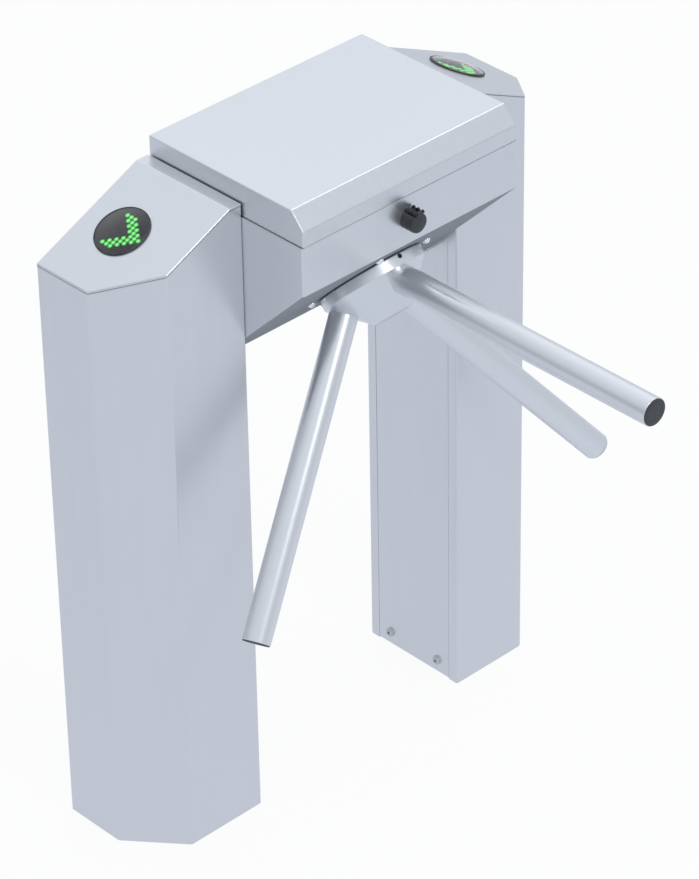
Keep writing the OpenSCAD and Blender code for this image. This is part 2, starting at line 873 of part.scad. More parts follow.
module pawl_plate() {
    color("gray") difference() {
        on_slope() block([-mech_w / 2, pawl_plate_low, -pawl_plate_back],
            [mech_w / 2, pawl_plate_high, -pawl_plate_front]);
        on_slope() rod_z(pawl_plate_bore_r, -pawl_plate_back - over, over);
        at_posts() rod_z(post_stud_r, -pawl_plate_back - over, 0);
        on_slope() both() translate([pivot_x, pivot_y, 0]) rod_z(pivot_d / 2, -pawl_plate_back - over, 0);
    }
}

// Stepped pins that the pawls swing on, each with its retaining clip
module pawl_pivots() {
    end = pawl_back + seat_gap + clip_t + pivot_tail;
    color("silver") on_slope() both() translate([pivot_x, pivot_y, 0]) union() {
        rod_z(pivot_d / 2, -end, -pawl_plate_front);
        rod_z(shoulder_pad_r, -pawl_front + free_gap, -pawl_plate_back);
        rod_z(clip_r, -pawl_back - free_gap - clip_t, -pawl_back - free_gap);
    }
}

// A pawl at rest, swung out of its notch
module pawl() {
    color("goldenrod") on_slope() translate([pivot_x, pivot_y, -pawl_back])
        rotate([0, 0, -pawl_throw]) difference() {
            linear_extrude(pawl_t) union() {
                polygon(pawl_outline());
                circle(r = pawl_boss_r);
            }
            rod_z(pivot_d / 2 + run_gap, -over, pawl_t + over);
        }
}

// A solenoid body bored for its push rod
module solenoid() {
    color("steelblue") on_slope() translate([0, 0, -lock_depth]) difference() {
        block([solenoid_x, -solenoid_half, -solenoid_half],
            [solenoid_x + solenoid_l, solenoid_half, solenoid_half]);
        rod_x(rod_r + run_gap, solenoid_x - over, rod_rest_x + rod_tail + rod_back_gap);
    }
}

module solenoid_brackets() {
    color("silver") on_slope() both() block([solenoid_x - bracket_lead, -bracket_half,
        -pawl_plate_back - bracket_t], [solenoid_x + solenoid_l, bracket_half, -pawl_plate_back]);
}

// The round-ended rod that pushes a pawl into its notch
module push_rod() {
    color("silver") on_slope() translate([0, 0, -lock_depth]) union() {
        rod_x(rod_r, rod_rest_x, rod_rest_x + rod_tail);
        translate([rod_rest_x, 0, 0]) sphere(r = rod_r);
    }
}

// A forked sensor astride the slotted disc
module position_sensor() {
    color("black") on_slope() difference() {
        block([-sensor_half, sensor_r - sensor_reach, -sensor_rear],
            [sensor_half, sensor_r + sensor_back, -sensor_front]);
        block([-sensor_half - over, sensor_r - sensor_reach - over, -sensor_disc_back - sensor_gap],
            [sensor_half + over, sensor_r + sensor_gap, -sensor_disc_front + sensor_gap]);
    }
}

// The stepped strip that carries the sensor round the index disc
module sensor_bracket() {
    color("silver") on_slope() union() {
        block([-sensor_half, sensor_r, -sensor_rear - bracket_t],
            [sensor_half, sensor_post + bracket_t, -sensor_rear]);
        block([-sensor_half, sensor_post, -sensor_rear - bracket_t],
            [sensor_half, sensor_post + bracket_t, -pawl_plate_back]);
        block([-sensor_half, sensor_post, -pawl_plate_back - bracket_t],
            [sensor_half, sensor_post + sensor_foot, -pawl_plate_back]);
    }
}

// Circuit board with a terminal strip and a row of relays, facing the front
module control_board() {
    color("darkgreen") translate([board_x, board_y, board_z]) union() {
        cube([board_w, board_t, board_h]);
        block([board_margin * 2, -terminal_h, board_margin],
            [board_margin * 2 + terminal_w, 0, board_margin + terminal_h]);
        for (i = [0 : relay_n - 1])
            translate([(i + 1 / 2) * board_w / relay_n - relay_s / 2, -relay_h, board_h / 2])
                cube([relay_s, relay_h, relay_s]);
    }
}

module board_standoffs() {
    color("khaki") for (x = [board_margin, board_w - board_margin],
        z = [board_margin, board_h - board_margin])
        translate([board_x + x, 0, board_z + z]) rod_y(standoff_r, board_y + board_t, back_y - sheet_t);
}

module power_supply() {
    color("silver") translate([supply_x, supply_y, housing_bottom_z + sheet_t])
        cube([supply_l, supply_w, supply_h]);
}

// Threaded glands that lead the indicator wiring into the legs
module cable_glands() {
    color("dimgray") both() at_gland() difference() {
        union() {
            rod_x(gland_r, xi - sheet_t - gland_flange_t, xi + sheet_t + gland_tail);
            rod_x(gland_flange_r, xi - sheet_t - gland_flange_t, xi - sheet_t);
            rod_x(gland_flange_r, xi + sheet_t, xi + sheet_t + gland_nut_t);
        }
        rod_x(gland_bore_r, xi - sheet_t - gland_flange_t - over, xi + sheet_t + gland_tail + over);
    }
}

// Frame of the lock's centre line
module at_lock() {
    translate([lock_x, 0, lock_z]) children();
}

// The lock's black collar, threaded tail and hinge ears
module lock_body() {
    inner = cover_tongue + free_gap;
    outer = inner + cover_ear_t;
    ear_low = lock_z + cover_r + free_gap;
    ear_top = cover_axis_z + cover_barrel_r;
    color("black") difference() {
        union() {
            at_lock() rod_y(lock_d / 2, lock_front_y, front_y);
            at_lock() rod_y(lock_tail_d / 2, lock_front_y, front_y + lock_tail_l);
            for (s = [-1, 1]) {
                x = lock_x + s * (inner + outer) / 2;
                block([x - cover_ear_t / 2, cover_axis_y - cover_barrel_r, ear_low],
                    [x + cover_ear_t / 2, lock_front_y, ear_top]);
                block([x - cover_ear_t / 2, lock_front_y, lock_z + plug_d / 2 + cover_axis_up],
                    [x + cover_ear_t / 2, (lock_front_y + front_y) / 2, ear_top]);
            }
            translate([lock_x, cover_axis_y, cover_axis_z]) rod_x(cover_pin_r, -outer, outer);
        }
        at_lock() rod_y(plug_d / 2 + run_gap, lock_front_y - over, front_y + lock_tail_l + over);
    }
}

module lock_nut() {
    color("silver") at_lock() difference() {
        translate([0, front_y + sheet_t + lock_nut_t, 0]) rotate([90, 0, 0])
            cylinder(r = lock_nut_r, h = lock_nut_t, $fn = 6);
        rod_y(lock_tail_d / 2, front_y, front_y + lock_tail_l);
    }
}

// The turning plug with its cam
module lock_plug() {
    color("darkgray") at_lock() union() {
        rod_y(plug_d / 2, lock_front_y + free_gap, cam_y + cam_t + plug_tail);
        block([-cam_w / 2, cam_y, -cam_w / 2], [cam_w / 2, cam_y + cam_t, cam_l]);
    }
}

// The flap over the keyhole, cut flat beside its tongue so that it clears the ears as it opens
module lock_cover() {
    back = lock_front_y - free_gap;
    color("dimgray") difference() {
        union() {
            intersection() {
                at_lock() rod_y(cover_r, back - cover_t, back);
                block([lock_x - lock_d, lock_front_y - lock_d, lock_z - lock_d],
                    [lock_x + lock_d, front_y, lock_z + cover_r - cover_relief]);
            }
            block([lock_x - cover_tongue, back - cover_t, lock_z],
                [lock_x + cover_tongue, back, cover_axis_z]);
            translate([lock_x, cover_axis_y, cover_axis_z])
                rod_x(cover_barrel_r, -cover_tongue, cover_tongue);
        }
        translate([lock_x, cover_axis_y, cover_axis_z])
            rod_x(cover_pin_r + run_gap, -cover_tongue - over, cover_tongue + over);
    }
}

// Leaf of a hinge: the plate stops short of the barrel, webs join it to its own knuckles
module hinge_leaf(plate, web, knuckles) {
    difference() {
        union() {
            block([-hinge_l / 2, back_y, plate[0]], [hinge_l / 2, back_y + leaf_t, plate[1]]);
            for (k = knuckles) {
                x = (k - 3 / 2) * knuckle_l;
                block([x + free_gap, back_y, web[0]], [x + knuckle_l - free_gap, back_y + leaf_t, web[1]]);
                translate([0, hinge_y, hinge_z])
                    rod_x(barrel_d / 2, x + free_gap, x + knuckle_l - free_gap);
            }
        }
        children();
    }
}

// Places of the two hinges
module at_hinges() {
    for (s = [-1, 1]) translate([s * hinge_x, 0, 0]) children();
}

module hinge_bore(r) {
    translate([0, hinge_y, hinge_z]) rod_x(r, -hinge_l, hinge_l);
}

module fixed_hinge_leaves() {
    top = hinge_z - barrel_d / 2 - free_gap;
    color("silver") at_hinges() hinge_leaf([hinge_z - leaf_h, top], [top, hinge_z], [1])
        hinge_bore(hinge_pin_d / 2);
}

module lid_hinge_leaves() {
    low = hinge_z + barrel_d / 2 + free_gap;
    color("silver") at_hinges() hinge_leaf([low, hinge_z + leaf_h], [hinge_z + seam_gap / 2, low], [0, 2])
        hinge_bore(hinge_pin_d / 2 + run_gap);
}

module hinge_pins() {
    color("gray") at_hinges() translate([0, hinge_y, hinge_z])
        rod_x(hinge_pin_d / 2, -hinge_l / 2, hinge_l / 2);
}

// The folded lid, open below
module lid() {
    color("aliceblue") difference() {
        along_x(-lid_x, lid_x, lid_side(lid_z));
        along_x(sheet_t - lid_x, lid_x - sheet_t, inset(lid_side(lid_z - over), sheet_t));
    }
}

// The hooked strip inside the lid that the lock's cam holds down
module lid_keeper() {
    low = lock_z - cam_w / 2 - free_gap - keeper_t;
    strip_y = cam_y + cam_t + keeper_gap;
    top = lid_top_z - bevel_drop - keeper_drop;
    x = lock_x + keeper_x;
    color("silver") union() {
        block([x, strip_y, low], [x + keeper_w, strip_y + keeper_t, top]);
        block([x, strip_y + keeper_t - keeper_tab, low], [x + keeper_w, strip_y + keeper_t, low + keeper_t]);
        block([x, front_y + sheet_t, top], [x + keeper_w, strip_y + keeper_t, top + keeper_t]);
    }
}

// The hub: a turned body with a band, a cone square to the arms and a flat end
module hub() {
    color("gainsboro") difference() {
        on_slope() rotate_extrude() polygon([[0, hub_gap], [hub_r - hub_edge, hub_gap],
            [hub_r, hub_gap + hub_edge], [hub_r, hub_band_h], [hub_end_r, hub_h], [0, hub_h]]);
        on_slope() rod_z(shaft_r, -over, hub_gap + shaft_seat);
        for (k = [0 : arm_n - 1]) {
            on_arm(k) rod_z(arm_r, arm_seat, arm_reach);
            at_set_screw(k) rod_x(set_screw_d / 2, set_screw_inner, hub_r + over);
        }
    }
}

module at_set_screw(k) {
    on_slope() rotate([0, 0, arm_phase + k * 360 / arm_n]) translate([0, 0, set_screw_h]) children();
}

// A tube with a solid plug in its root
module arm(k) {
    color("white") on_arm(k) difference() {
        rod_z(arm_r, arm_seat, arm_reach - cap_disc_t);
        rod_z(arm_r - arm_wall, arm_seat + arm_plug_l, arm_reach);
    }
}

module arm_caps() {
    color("black") for (k = [0 : arm_n - 1]) on_arm(k) union() {
        rod_z(arm_r - cap_rim, arm_reach - cap_disc_t, arm_reach);
        rod_z(arm_r - arm_wall, arm_reach - cap_disc_t - cap_plug_l, arm_reach - cap_disc_t);
    }
}

module arm_set_screws() {
    color("black") for (k = [0 : arm_n - 1])
        at_set_screw(k) rod_x(set_screw_d / 2, set_screw_inner, hub_r - set_screw_sunk);
}

// The shaft with the shoulder between the hub and the front bearing
module main_shaft() {
    color("silver") on_slope() union() {
        rod_z(shaft_r, -shaft_end, hub_gap + shaft_seat);
        rod_z(shoulder_r, -mech_back, hub_gap);
    }
}

// The notched disc on its boss
module index_disc() {
    color("peru") on_slope() difference() {
        union() {
            rod_z(disc_lip_r, -bearing_end - disc_lip, -bearing_end);
            rod_z(disc_boss_r, -disc_front, -bearing_end - disc_lip);
            rod_z(disc_r, -disc_back, -disc_front);
            rod_z(disc_lip_r, -sensor_disc_front, -disc_back);
        }
        rod_z(shaft_r, -sensor_disc_front - over, 0);
        for (i = [0 : notch_n - 1]) rotate([0, 0, i * 360 / notch_n])
            block([disc_r - notch_depth, -notch_w / 2, -disc_back - over],
                [disc_r + over, notch_w / 2, over - disc_front]);
    }
}

module sensor_disc() {
    color("dimgray") on_slope() difference() {
        rod_z(sensor_r, -sensor_disc_back, -sensor_disc_front);
        rod_z(shaft_r, -sensor_disc_back - over, 0);
        for (i = [0 : slot_n - 1]) rotate([0, 0, i * 360 / slot_n])
            block([sensor_r - slot_edge - slot_depth, -slot_w / 2, -sensor_disc_back - over],
                [sensor_r - slot_edge, slot_w / 2, over - sensor_disc_front]);
    }
}

module shaft_nut() {
    color("silver") on_slope() difference() {
        translate([0, 0, -sensor_disc_back - nut_t]) cylinder(r = nut_r, h = nut_t, $fn = 6);
        rod_z(shaft_r, -sensor_disc_back - nut_t - over, 0);
    }
}

near() leg();  // near_leg
leg();  // far_leg
near() leg_cap();  // near_cap
leg_cap();  // far_cap
near() base_plate();  // near_base_plate
base_plate();  // far_base_plate
near() service_panel();  // near_service_panel
service_panel();  // far_service_panel
both() panel_bolts();  // service_panel_bolts
near() indicator_bezel();  // near_indicator_bezel
indicator_bezel();  // far_indicator_bezel
near() indicator_lens();  // near_indicator_lens
indicator_lens();  // far_indicator_lens
near() lamp_board();  // near_lamp_board
lamp_board();  // far_lamp_board
housing_body();
housing_bolts();
housing_nuts();
mechanism_plate();
plate_screws();
bearing_housing();
bearing_housing_bolts();
bearing_outer_rings();
bearing_balls();
support_posts();
pawl_plate();
pawl_pivots();
near() solenoid();  // near_solenoid
solenoid();  // far_solenoid
solenoid_brackets();
position_sensor();
sensor_bracket();
control_board();
board_standoffs();
power_supply();
cable_glands();
lock_body();
lock_nut();
fixed_hinge_leaves();
hinge_pins();
hub();
arm(0);  // front_arm
arm(1);  // near_arm
arm(2);  // far_arm
arm_caps();
arm_set_screws();
main_shaft();
bearing_inner_rings();
index_disc();
sensor_disc();
shaft_nut();
lid();
lid_hinge_leaves();
lid_keeper();
lock_plug();
lock_cover();
near() pawl();  // near_pawl
pawl();  // far_pawl
near() push_rod();  // near_push_rod
push_rod();  // far_push_rod
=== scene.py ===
"""Looks of a waist-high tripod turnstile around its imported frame. Metres, +Z up, -Y is the front."""
import json
import math

import bpy
import numpy as np
from mathutils import Matrix, Vector


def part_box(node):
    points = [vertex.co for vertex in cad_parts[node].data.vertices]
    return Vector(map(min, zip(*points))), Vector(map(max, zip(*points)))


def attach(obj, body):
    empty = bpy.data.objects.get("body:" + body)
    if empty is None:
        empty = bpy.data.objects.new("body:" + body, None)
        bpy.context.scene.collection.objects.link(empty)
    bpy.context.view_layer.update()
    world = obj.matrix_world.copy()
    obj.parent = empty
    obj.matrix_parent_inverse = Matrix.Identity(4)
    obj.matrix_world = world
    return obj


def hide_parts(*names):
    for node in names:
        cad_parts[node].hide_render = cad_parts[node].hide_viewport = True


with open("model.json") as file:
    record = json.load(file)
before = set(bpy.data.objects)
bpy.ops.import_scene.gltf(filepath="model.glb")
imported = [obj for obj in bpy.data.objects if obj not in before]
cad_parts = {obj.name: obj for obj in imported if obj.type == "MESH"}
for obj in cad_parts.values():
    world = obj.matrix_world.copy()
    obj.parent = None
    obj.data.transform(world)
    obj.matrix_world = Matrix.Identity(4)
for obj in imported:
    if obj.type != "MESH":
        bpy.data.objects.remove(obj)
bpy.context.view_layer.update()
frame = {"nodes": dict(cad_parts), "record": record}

MM = 0.001

# Roundness: points on a fillet, sides of holes and of turned pieces, and the bends that count as edges
FILLET_STEPS = 5
HOLE_STEPS = 64
ROUND_SEGMENTS = 96
HUB_SEGMENTS = 192
INDICATOR_SEGMENTS = 128
ARM_CAP_SEGMENTS = 72
SCREW_SEGMENTS = 40
PIN_SEGMENTS = 24
SMOOTH_BELOW = math.radians(35)
FOLD_ABOVE = math.radians(15)
EDGE_ABOVE = math.radians(40)

# Left open between the ends of a ring's profile, inside the ring and out of sight
SLIT = 0.1 * MM

# Places of the legs, the housing, the lid and the far panel, read from the frame
HOUSING_LOW, HOUSING_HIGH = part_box("housing_body")
LID_LOW, LID_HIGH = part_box("lid")
PANEL_LOW, PANEL_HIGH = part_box("far_service_panel")
OUTER_X, BACK_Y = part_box("far_leg")[1][:2]
LEG_TOP_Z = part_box("far_cap")[1][2]
BRIDGE_X = HOUSING_HIGH[0]
FRONT_Y = HOUSING_LOW[1]

# Folded sheet: its thickness, its folds and the steps that round them, and a cut edge
SHEET = 2 * MM
FOLD_R = 2.6 * MM
LID_FOLD_R = 1.8 * MM
CAP_FOLD_R = 1.6 * MM
FOLD_STEPS = 4
EDGE_R = 0.5 * MM

# Legs and caps
CORNER_X = 67 * MM
CORNER_Y = 80 * MM
CAP_FLAT = 21 * MM
CAP_FALL = 82 * MM
CAP_SKIRT = 3 * MM
CAP_JOINT = 0.5 * MM
COLLAR_LAP = 12 * MM
ROOF_A = math.atan(CAP_FALL / (OUTER_X - BRIDGE_X - CAP_FLAT))

# Housing, lid and the rim between them
LID_GAP = 1.2 * MM
SEAM_Z = LID_LOW[2] - LID_GAP
FRONT_H = 73 * MM
SLOPE_DROP = 173 * MM
BOTTOM_Z = HOUSING_LOW[2]
FOOT_Y = FRONT_Y + SLOPE_DROP
BEVEL_BACK = 22 * MM
BEVEL_DROP = 25 * MM
RIM_H = 6 * MM
RIM_GAP = 0.6 * MM
LID_X = LID_HIGH[0]

# Service panels, the frames behind them and their bolts
PANEL_HALF = PANEL_HIGH[1]
PANEL_GAP = 0.6 * MM
PANEL_DROP = 2 * MM
RAIL_W = 12 * MM
FRAME_FOOT_Z = 9 * MM
PANEL_BOLT_S = 98 * MM
PANEL_BOLT_Z = 22 * MM
PANEL_BOLT_R = 7 * MM
PANEL_BOLT_H = 4.6 * MM
PANEL_BOLT_L = 12 * MM

# Hub, in the frame of the slanting underside
TILT = math.radians(45)
HUB_DROP = 83 * MM
HUB_R = 78 * MM
HUB_GAP = 1.5 * MM
HUB_BAND = 17 * MM
HUB_H = 67 * MM
HUB_END_R = HUB_R - (HUB_H - HUB_BAND)
HUB_EDGE_R = 1.2 * MM
BAND_EASE = 2 * MM
SHAFT_HOLE_R = 21 * MM

# Arms and their caps, from the point where the arms' centre lines meet
ARM_N = 3
ARM_MEET = 25 * MM
ARM_R = 20 * MM
ARM_WALL = 2 * MM
ARM_BORE_R = ARM_R - ARM_WALL
ARM_ROOT = 62 * MM
ARM_REACH = 538 * MM
ARM_DISC = 2 * MM
ARM_TIP = ARM_REACH - ARM_DISC
ARM_END = 2 * MM
ARM_END_R = 0.8 * MM
ARM_HOLLOW = 30 * MM
ARM_STATIONS = 40
PLUG_DEPTH = 16 * MM
PLUG_GAP = 0.2 * MM
ARM_CAP_R = ARM_R - 1 * MM
ARM_CAP_EASE_R = 0.5 * MM
ARM_CAP_FACE_R = ARM_R - 5 * MM

# Screws round the hub and in its band
SET_SCREW_H = 6 * MM
SET_SCREW_R = 3.5 * MM
SET_SCREW_L = 4 * MM
SET_SCREW_PROUD = 0.2 * MM
SOCKET_R = 1.5 * MM
SOCKET_DEPTH = 0.15 * MM
PLATE_SCREW_N = 4
PLATE_SCREW_RING = 90 * MM
PLATE_SCREW_ANGLE = math.radians(23.7)
PLATE_SCREW_R = 6 * MM
PLATE_SCREW_H = 5 * MM
PLATE_SCREW_L = 10 * MM

# Direction indicators on the caps: ring, cover, and the lamps on their board
IND_X = 111 * MM
IND_Y = 19 * MM
IND_R = 40 * MM
IND_SEAT = 1.5 * MM
BEZEL_H = 2.2 * MM
BEZEL_RIM = 1.0 * MM
BEZEL_WALL = 1 * MM
BEZEL_EDGE_R = 0.45 * MM
BARREL_R = IND_R - IND_SEAT - 0.2 * MM
BARREL_L = 10 * MM
WINDOW_LOW = 1 * MM
WINDOW_TOP = 8.4 * MM
WINDOW_CROWN = 7 * MM
WINDOW_WALL = 1.2 * MM
WINDOW_R = IND_R - BEZEL_RIM - 0.15 * MM
WINDOW_EASE = 0.2 * MM
BOARD_R = BARREL_R - 1.1 * MM
BOARD_T = 1 * MM
BOARD_TOP = 0.4 * MM
LED_R = 3.6 * MM
LED_H = 0.3 * MM
LED_SEAT = 0.02 * MM
LED_PITCH = 7.5 * MM
ROW_PITCH = 6.15 * MM
LED_FRONT = 32.5 * MM
LED_SIDE = 1.4 * MM
LED_ROWS = 4
LED_DEEP = 3
LAMP_RINGS = np.array([1, 0.92, 0.8, 0.65, 0.5, 0.35, 0.2, 0])
LAMP_SEGMENTS = 20

# Key lock on the front face: collar, tail, flap, ears and pin. The points of the collar's groove are a depth
# and a place along the collar, and those of the flap's rim are an inset and a depth behind its face.
LOCK_X = -7 * MM
LOCK_Z = SEAM_Z - 33.5 * MM
LOCK_R = 14.5 * MM
LOCK_PROUD = 17.5 * MM
LOCK_EDGE_R = 0.5 * MM
GROOVE = ((0, 11 * MM), (0.8 * MM, 11.6 * MM), (0.8 * MM, 12.8 * MM), (0, 13.4 * MM))
LOCK_TAIL_R = 9.5 * MM
LOCK_TAIL = 26 * MM
KEYWAY_R = 6.55 * MM
COVER_R = 14 * MM
COVER_T = 3 * MM
COVER_RELIEF = 2 * MM
COVER_RIM = ((0, 3 * MM), (0, 0.8 * MM), (0.25 * MM, 0.25 * MM), (0.9 * MM, 0))
COVER_STEPS = 73
COVER_BARREL_R = 2.6 * MM
COVER_TONGUE = 4 * MM
EAR_T = 3.5 * MM
EAR_L = 16 * MM
EAR_EDGE_R = 0.3 * MM
PIN_R = 1.2 * MM
PIN_PROUD = 0.3 * MM
FREE_GAP = 0.4 * MM
LOCK_FRONT_Y = FRONT_Y - LOCK_PROUD
COVER_AXIS_Y = LOCK_FRONT_Y - COVER_BARREL_R - FREE_GAP
COVER_AXIS_Z = LOCK_Z + LOCK_R + 1 * MM

# Control board inside the housing: the green face that its parts stand on
BOARD_FACE_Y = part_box("control_board")[1][1] - 1.6 * MM

# Sockets of a Mix node: its low and high input and its output, for colours and for numbers
COLOUR_SOCKETS = 6, 7, 2
NUMBER_SOCKETS = 2, 3, 0

# Frames: Z out along the shaft; Z out of the far cap; Z out of the lock towards the front
HUB_Y = FRONT_Y + HUB_DROP
HUB_Z = SEAM_Z - FRONT_H - HUB_DROP
ON_SLOPE = Matrix.Translation((0, HUB_Y, HUB_Z)) @ Matrix.Rotation(math.pi - TILT, 4, "X")
ROOF_AT = (BRIDGE_X + IND_X, IND_Y, LEG_TOP_Z - (IND_X - CAP_FLAT) * math.tan(ROOF_A))
ON_ROOF = Matrix.Translation(ROOF_AT) @ Matrix.Rotation(ROOF_A, 4, "Y")
ON_LOCK = Matrix.Translation((LOCK_X, FRONT_Y, LOCK_Z)) @ Matrix.Rotation(math.pi / 2, 4, "X")


def round_shaft(k):
    """Frame of the slanting underside, turned about the shaft until its X points towards arm k."""
    return ON_SLOPE @ Matrix.Rotation(math.pi / 2 + k * math.tau / ARM_N, 4, "Z")


def on_arm(k):
    """Frame of arm k: Z runs along the arm from the point where the arms' centre lines meet."""
    meet, lean = Matrix.Translation((0, 0, -ARM_MEET)), Matrix.Rotation(math.pi / 2 - TILT, 4, "Y")
    return round_shaft(k) @ meet @ lean


# Materials

def ranged(tree, measure, low, high, to_low=0, to_high=1, smooth=False):
    """A measure carried from one range into another and held at the ends of it."""
    span = tree.nodes.new("ShaderNodeMapRange")
    span.interpolation_type = "SMOOTHSTEP" if smooth else "LINEAR"
    for name, number in (("From Min", low), ("From Max", high), ("To Min", to_low), ("To Max", to_high)):
        span.inputs[name].default_value = number
    tree.links.new(measure, span.inputs["Value"])
    return span.outputs["Result"]


def mixed(tree, share, low, high, colour=True, clamp=True):
    """Low where the share is 0 and high where it is 1; each is a colour, a number or a node's output."""
    mix = tree.nodes.new("ShaderNodeMix")
    mix.data_type, mix.clamp_factor = "RGBA" if colour else "FLOAT", clamp
    at_low, at_high, out = COLOUR_SOCKETS if colour else NUMBER_SOCKETS
    for at, source in ((0, share), (at_low, low), (at_high, high)):
        if isinstance(source, bpy.types.NodeSocket):
            tree.links.new(source, mix.inputs[at])
        else:
            mix.inputs[at].default_value = source
    return mix.outputs[out]


def along(tree, place, axis):
    """One axis of a place or a direction."""
    split = tree.nodes.new("ShaderNodeSeparateXYZ")
    tree.links.new(place, split.inputs[0])
    return split.outputs[axis]


def finish(name, colour, metallic, roughness, tone=0.03, tone_scale=(5, 5, 5), swing=0.05,
           swing_scale=(30, 30, 30), bump=0.05, bump_scale=(900, 900, 900), depth=0.0002, uv=False):
    """A principled material whose colour, roughness and bump each follow a noise of their own scale."""
    usual_low, usual_high, smoothest = 0.3, 0.7, 0.02
    material = bpy.data.materials.new(name)
    material.use_nodes = True
    tree = material.node_tree
    shader = tree.nodes["Principled BSDF"]
    shader.inputs["Metallic"].default_value = metallic
    place = tree.nodes.new("ShaderNodeTexCoord").outputs["UV" if uv else "Object"]

    def noise(scale, detail):
        mapping = tree.nodes.new("ShaderNodeMapping")
        mapping.inputs["Scale"].default_value = scale
        tree.links.new(place, mapping.inputs["Vector"])
        texture = tree.nodes.new("ShaderNodeTexNoise")
        texture.inputs["Scale"].default_value = 1
        texture.inputs["Detail"].default_value = detail
        tree.links.new(mapping.outputs["Vector"], texture.inputs["Vector"])
        return texture.outputs["Fac"]

    dark, light = ([min(1, c * share) for c in colour] + [1] for share in (1 - tone, 1 + tone))
    tree.links.new(mixed(tree, noise(tone_scale, 3), dark, light), shader.inputs["Base Color"])
    least, most = max(smoothest, roughness - swing), roughness + swing
    tree.links.new(ranged(tree, noise(swing_scale, 4), usual_low, usual_high, least, most),
                   shader.inputs["Roughness"])
    relief = tree.nodes.new("ShaderNodeBump")
    relief.inputs["Strength"].default_value = bump
    relief.inputs["Distance"].default_value = depth
    tree.links.new(noise(bump_scale, 2), relief.inputs["Height"])
    tree.links.new(relief.outputs["Normal"], shader.inputs["Normal"])
    return material


def moved_towards(material, measure, start, end, values):
    """Some inputs move towards other values as a measure goes from start to end."""
    tree = material.node_tree
    share = ranged(tree, measure, start, end)
    for name, value in values.items():
        socket = tree.nodes["Principled BSDF"].inputs[name]
        before = socket.links[0].from_socket if socket.links else socket.default_value
        tree.links.new(mixed(tree, share, before, value, colour=name == "Base Color"), socket)


def shell_steel():
    """Satin sheet steel: pale grey with a faint upright grain, slow changes of tone, and painted shade on
    faces that look down: darker there, and also duller and less metallic.
    """
    material = finish("shell_steel", (0.76, 0.775, 0.80), 0.90, 0.33, tone=0.015, tone_scale=(3, 3, 1.5),
                      swing=0.04, swing_scale=(90, 90, 6), bump=0.04, bump_scale=(1400, 1400, 60))
    # Painted shade: faces that look down are darkened towards grey, and also made rougher and less metallic.
    normal = material.node_tree.nodes.new("ShaderNodeNewGeometry").outputs["Normal"]
    moved_towards(material, along(material.node_tree, normal, "Z"), -0.15, -0.6,
                  {"Base Color": (0.27, 0.29, 0.32, 1), "Metallic": 0.15, "Roughness": 0.75})
    return material


def polished_steel():
    """Polished tube: soft reflections, with very fine rings left by the polishing wheel."""
    return finish("polished_steel", (0.79, 0.805, 0.83), 0.82, 0.31, tone=0.02, tone_scale=(40, 12, 1),
                  swing=0.015, swing_scale=(40, 120, 1), bump=0.0008, bump_scale=(300, 2000, 1),
                  depth=0.00001, uv=True)


def hub_metal():
    """Machined hub: light alloy with turned rings so fine that they only soften its reflections."""
    return finish("hub_metal", (0.77, 0.79, 0.82), 0.92, 0.25, tone=0.02, tone_scale=(12, 12, 12),
                  swing=0.03, swing_scale=(40, 40, 40), bump=0.01, bump_scale=(300, 300, 300),
                  depth=0.00005)


def bright_screw():
    """Polished dome heads."""
    return finish("bright_screw", (0.92, 0.93, 0.95), 1.0, 0.12, swing=0.04, swing_scale=(300, 300, 300))


def zinc_steel():
    """Zinc plate with its cloudy crystals."""
    return finish("zinc_steel", (0.60, 0.62, 0.65), 0.9, 0.38, tone=0.08, tone_scale=(45, 45, 45),
                  swing=0.10, swing_scale=(70, 70, 70), bump=0.08)


def cast_alloy():
    """Shot-blasted casting: grey, dull and grainy."""
    return finish("cast_alloy", (0.42, 0.43, 0.45), 0.8, 0.52, tone=0.06, tone_scale=(30, 30, 30),
                  bump=0.35, bump_scale=(700, 700, 700), depth=0.0006)


def bearing_steel():
    """Ground and polished rings and balls."""
    return finish("bearing_steel", (0.78, 0.79, 0.81), 1.0, 0.14, swing=0.04)


def tool_steel():
    """Machined steel under a film of oil."""
    return finish("tool_steel", (0.36, 0.36, 0.38), 1.0, 0.30, tone=0.10, tone_scale=(35, 35, 35),
                  swing=0.09, swing_scale=(60, 60, 60), bump=0.10)


def black_plastic():
    """Moulded black plastic with a fine spark-eroded grain."""
    return finish("black_plastic", (0.036, 0.040, 0.046), 0.0, 0.42, tone=0.12, tone_scale=(60, 60, 60),
                  swing=0.07, swing_scale=(200, 200, 200), bump=0.25, bump_scale=(1600, 1600, 1600))


def lock_black():
    """Black coated lock parts, a little grey where the coat is rubbed."""
    return finish("lock_black", (0.036, 0.040, 0.044), 0.2, 0.42, tone=0.22, tone_scale=(120, 120, 120),
                  swing=0.08, swing_scale=(250, 250, 250), bump=0.20, bump_scale=(1500, 1500, 1500))


def lock_steel():
    """Plated lock plug and cam."""
    return finish("lock_steel", (0.60, 0.60, 0.62), 1.0, 0.27, tone=0.05, tone_scale=(80, 80, 80))


def dark_window():
    """Clear glossy cover that looks dark over the black board of an indicator."""
    material = finish("dark_window", (0.90, 0.90, 0.94), 0.0, 0.04, tone=0.01, tone_scale=(40, 40, 40),
                      swing=0.01, bump=0.01)
    shader = material.node_tree.nodes["Principled BSDF"]
    shader.inputs["Transmission Weight"].default_value = 1.0
    shader.inputs["IOR"].default_value = 1.38
    return material


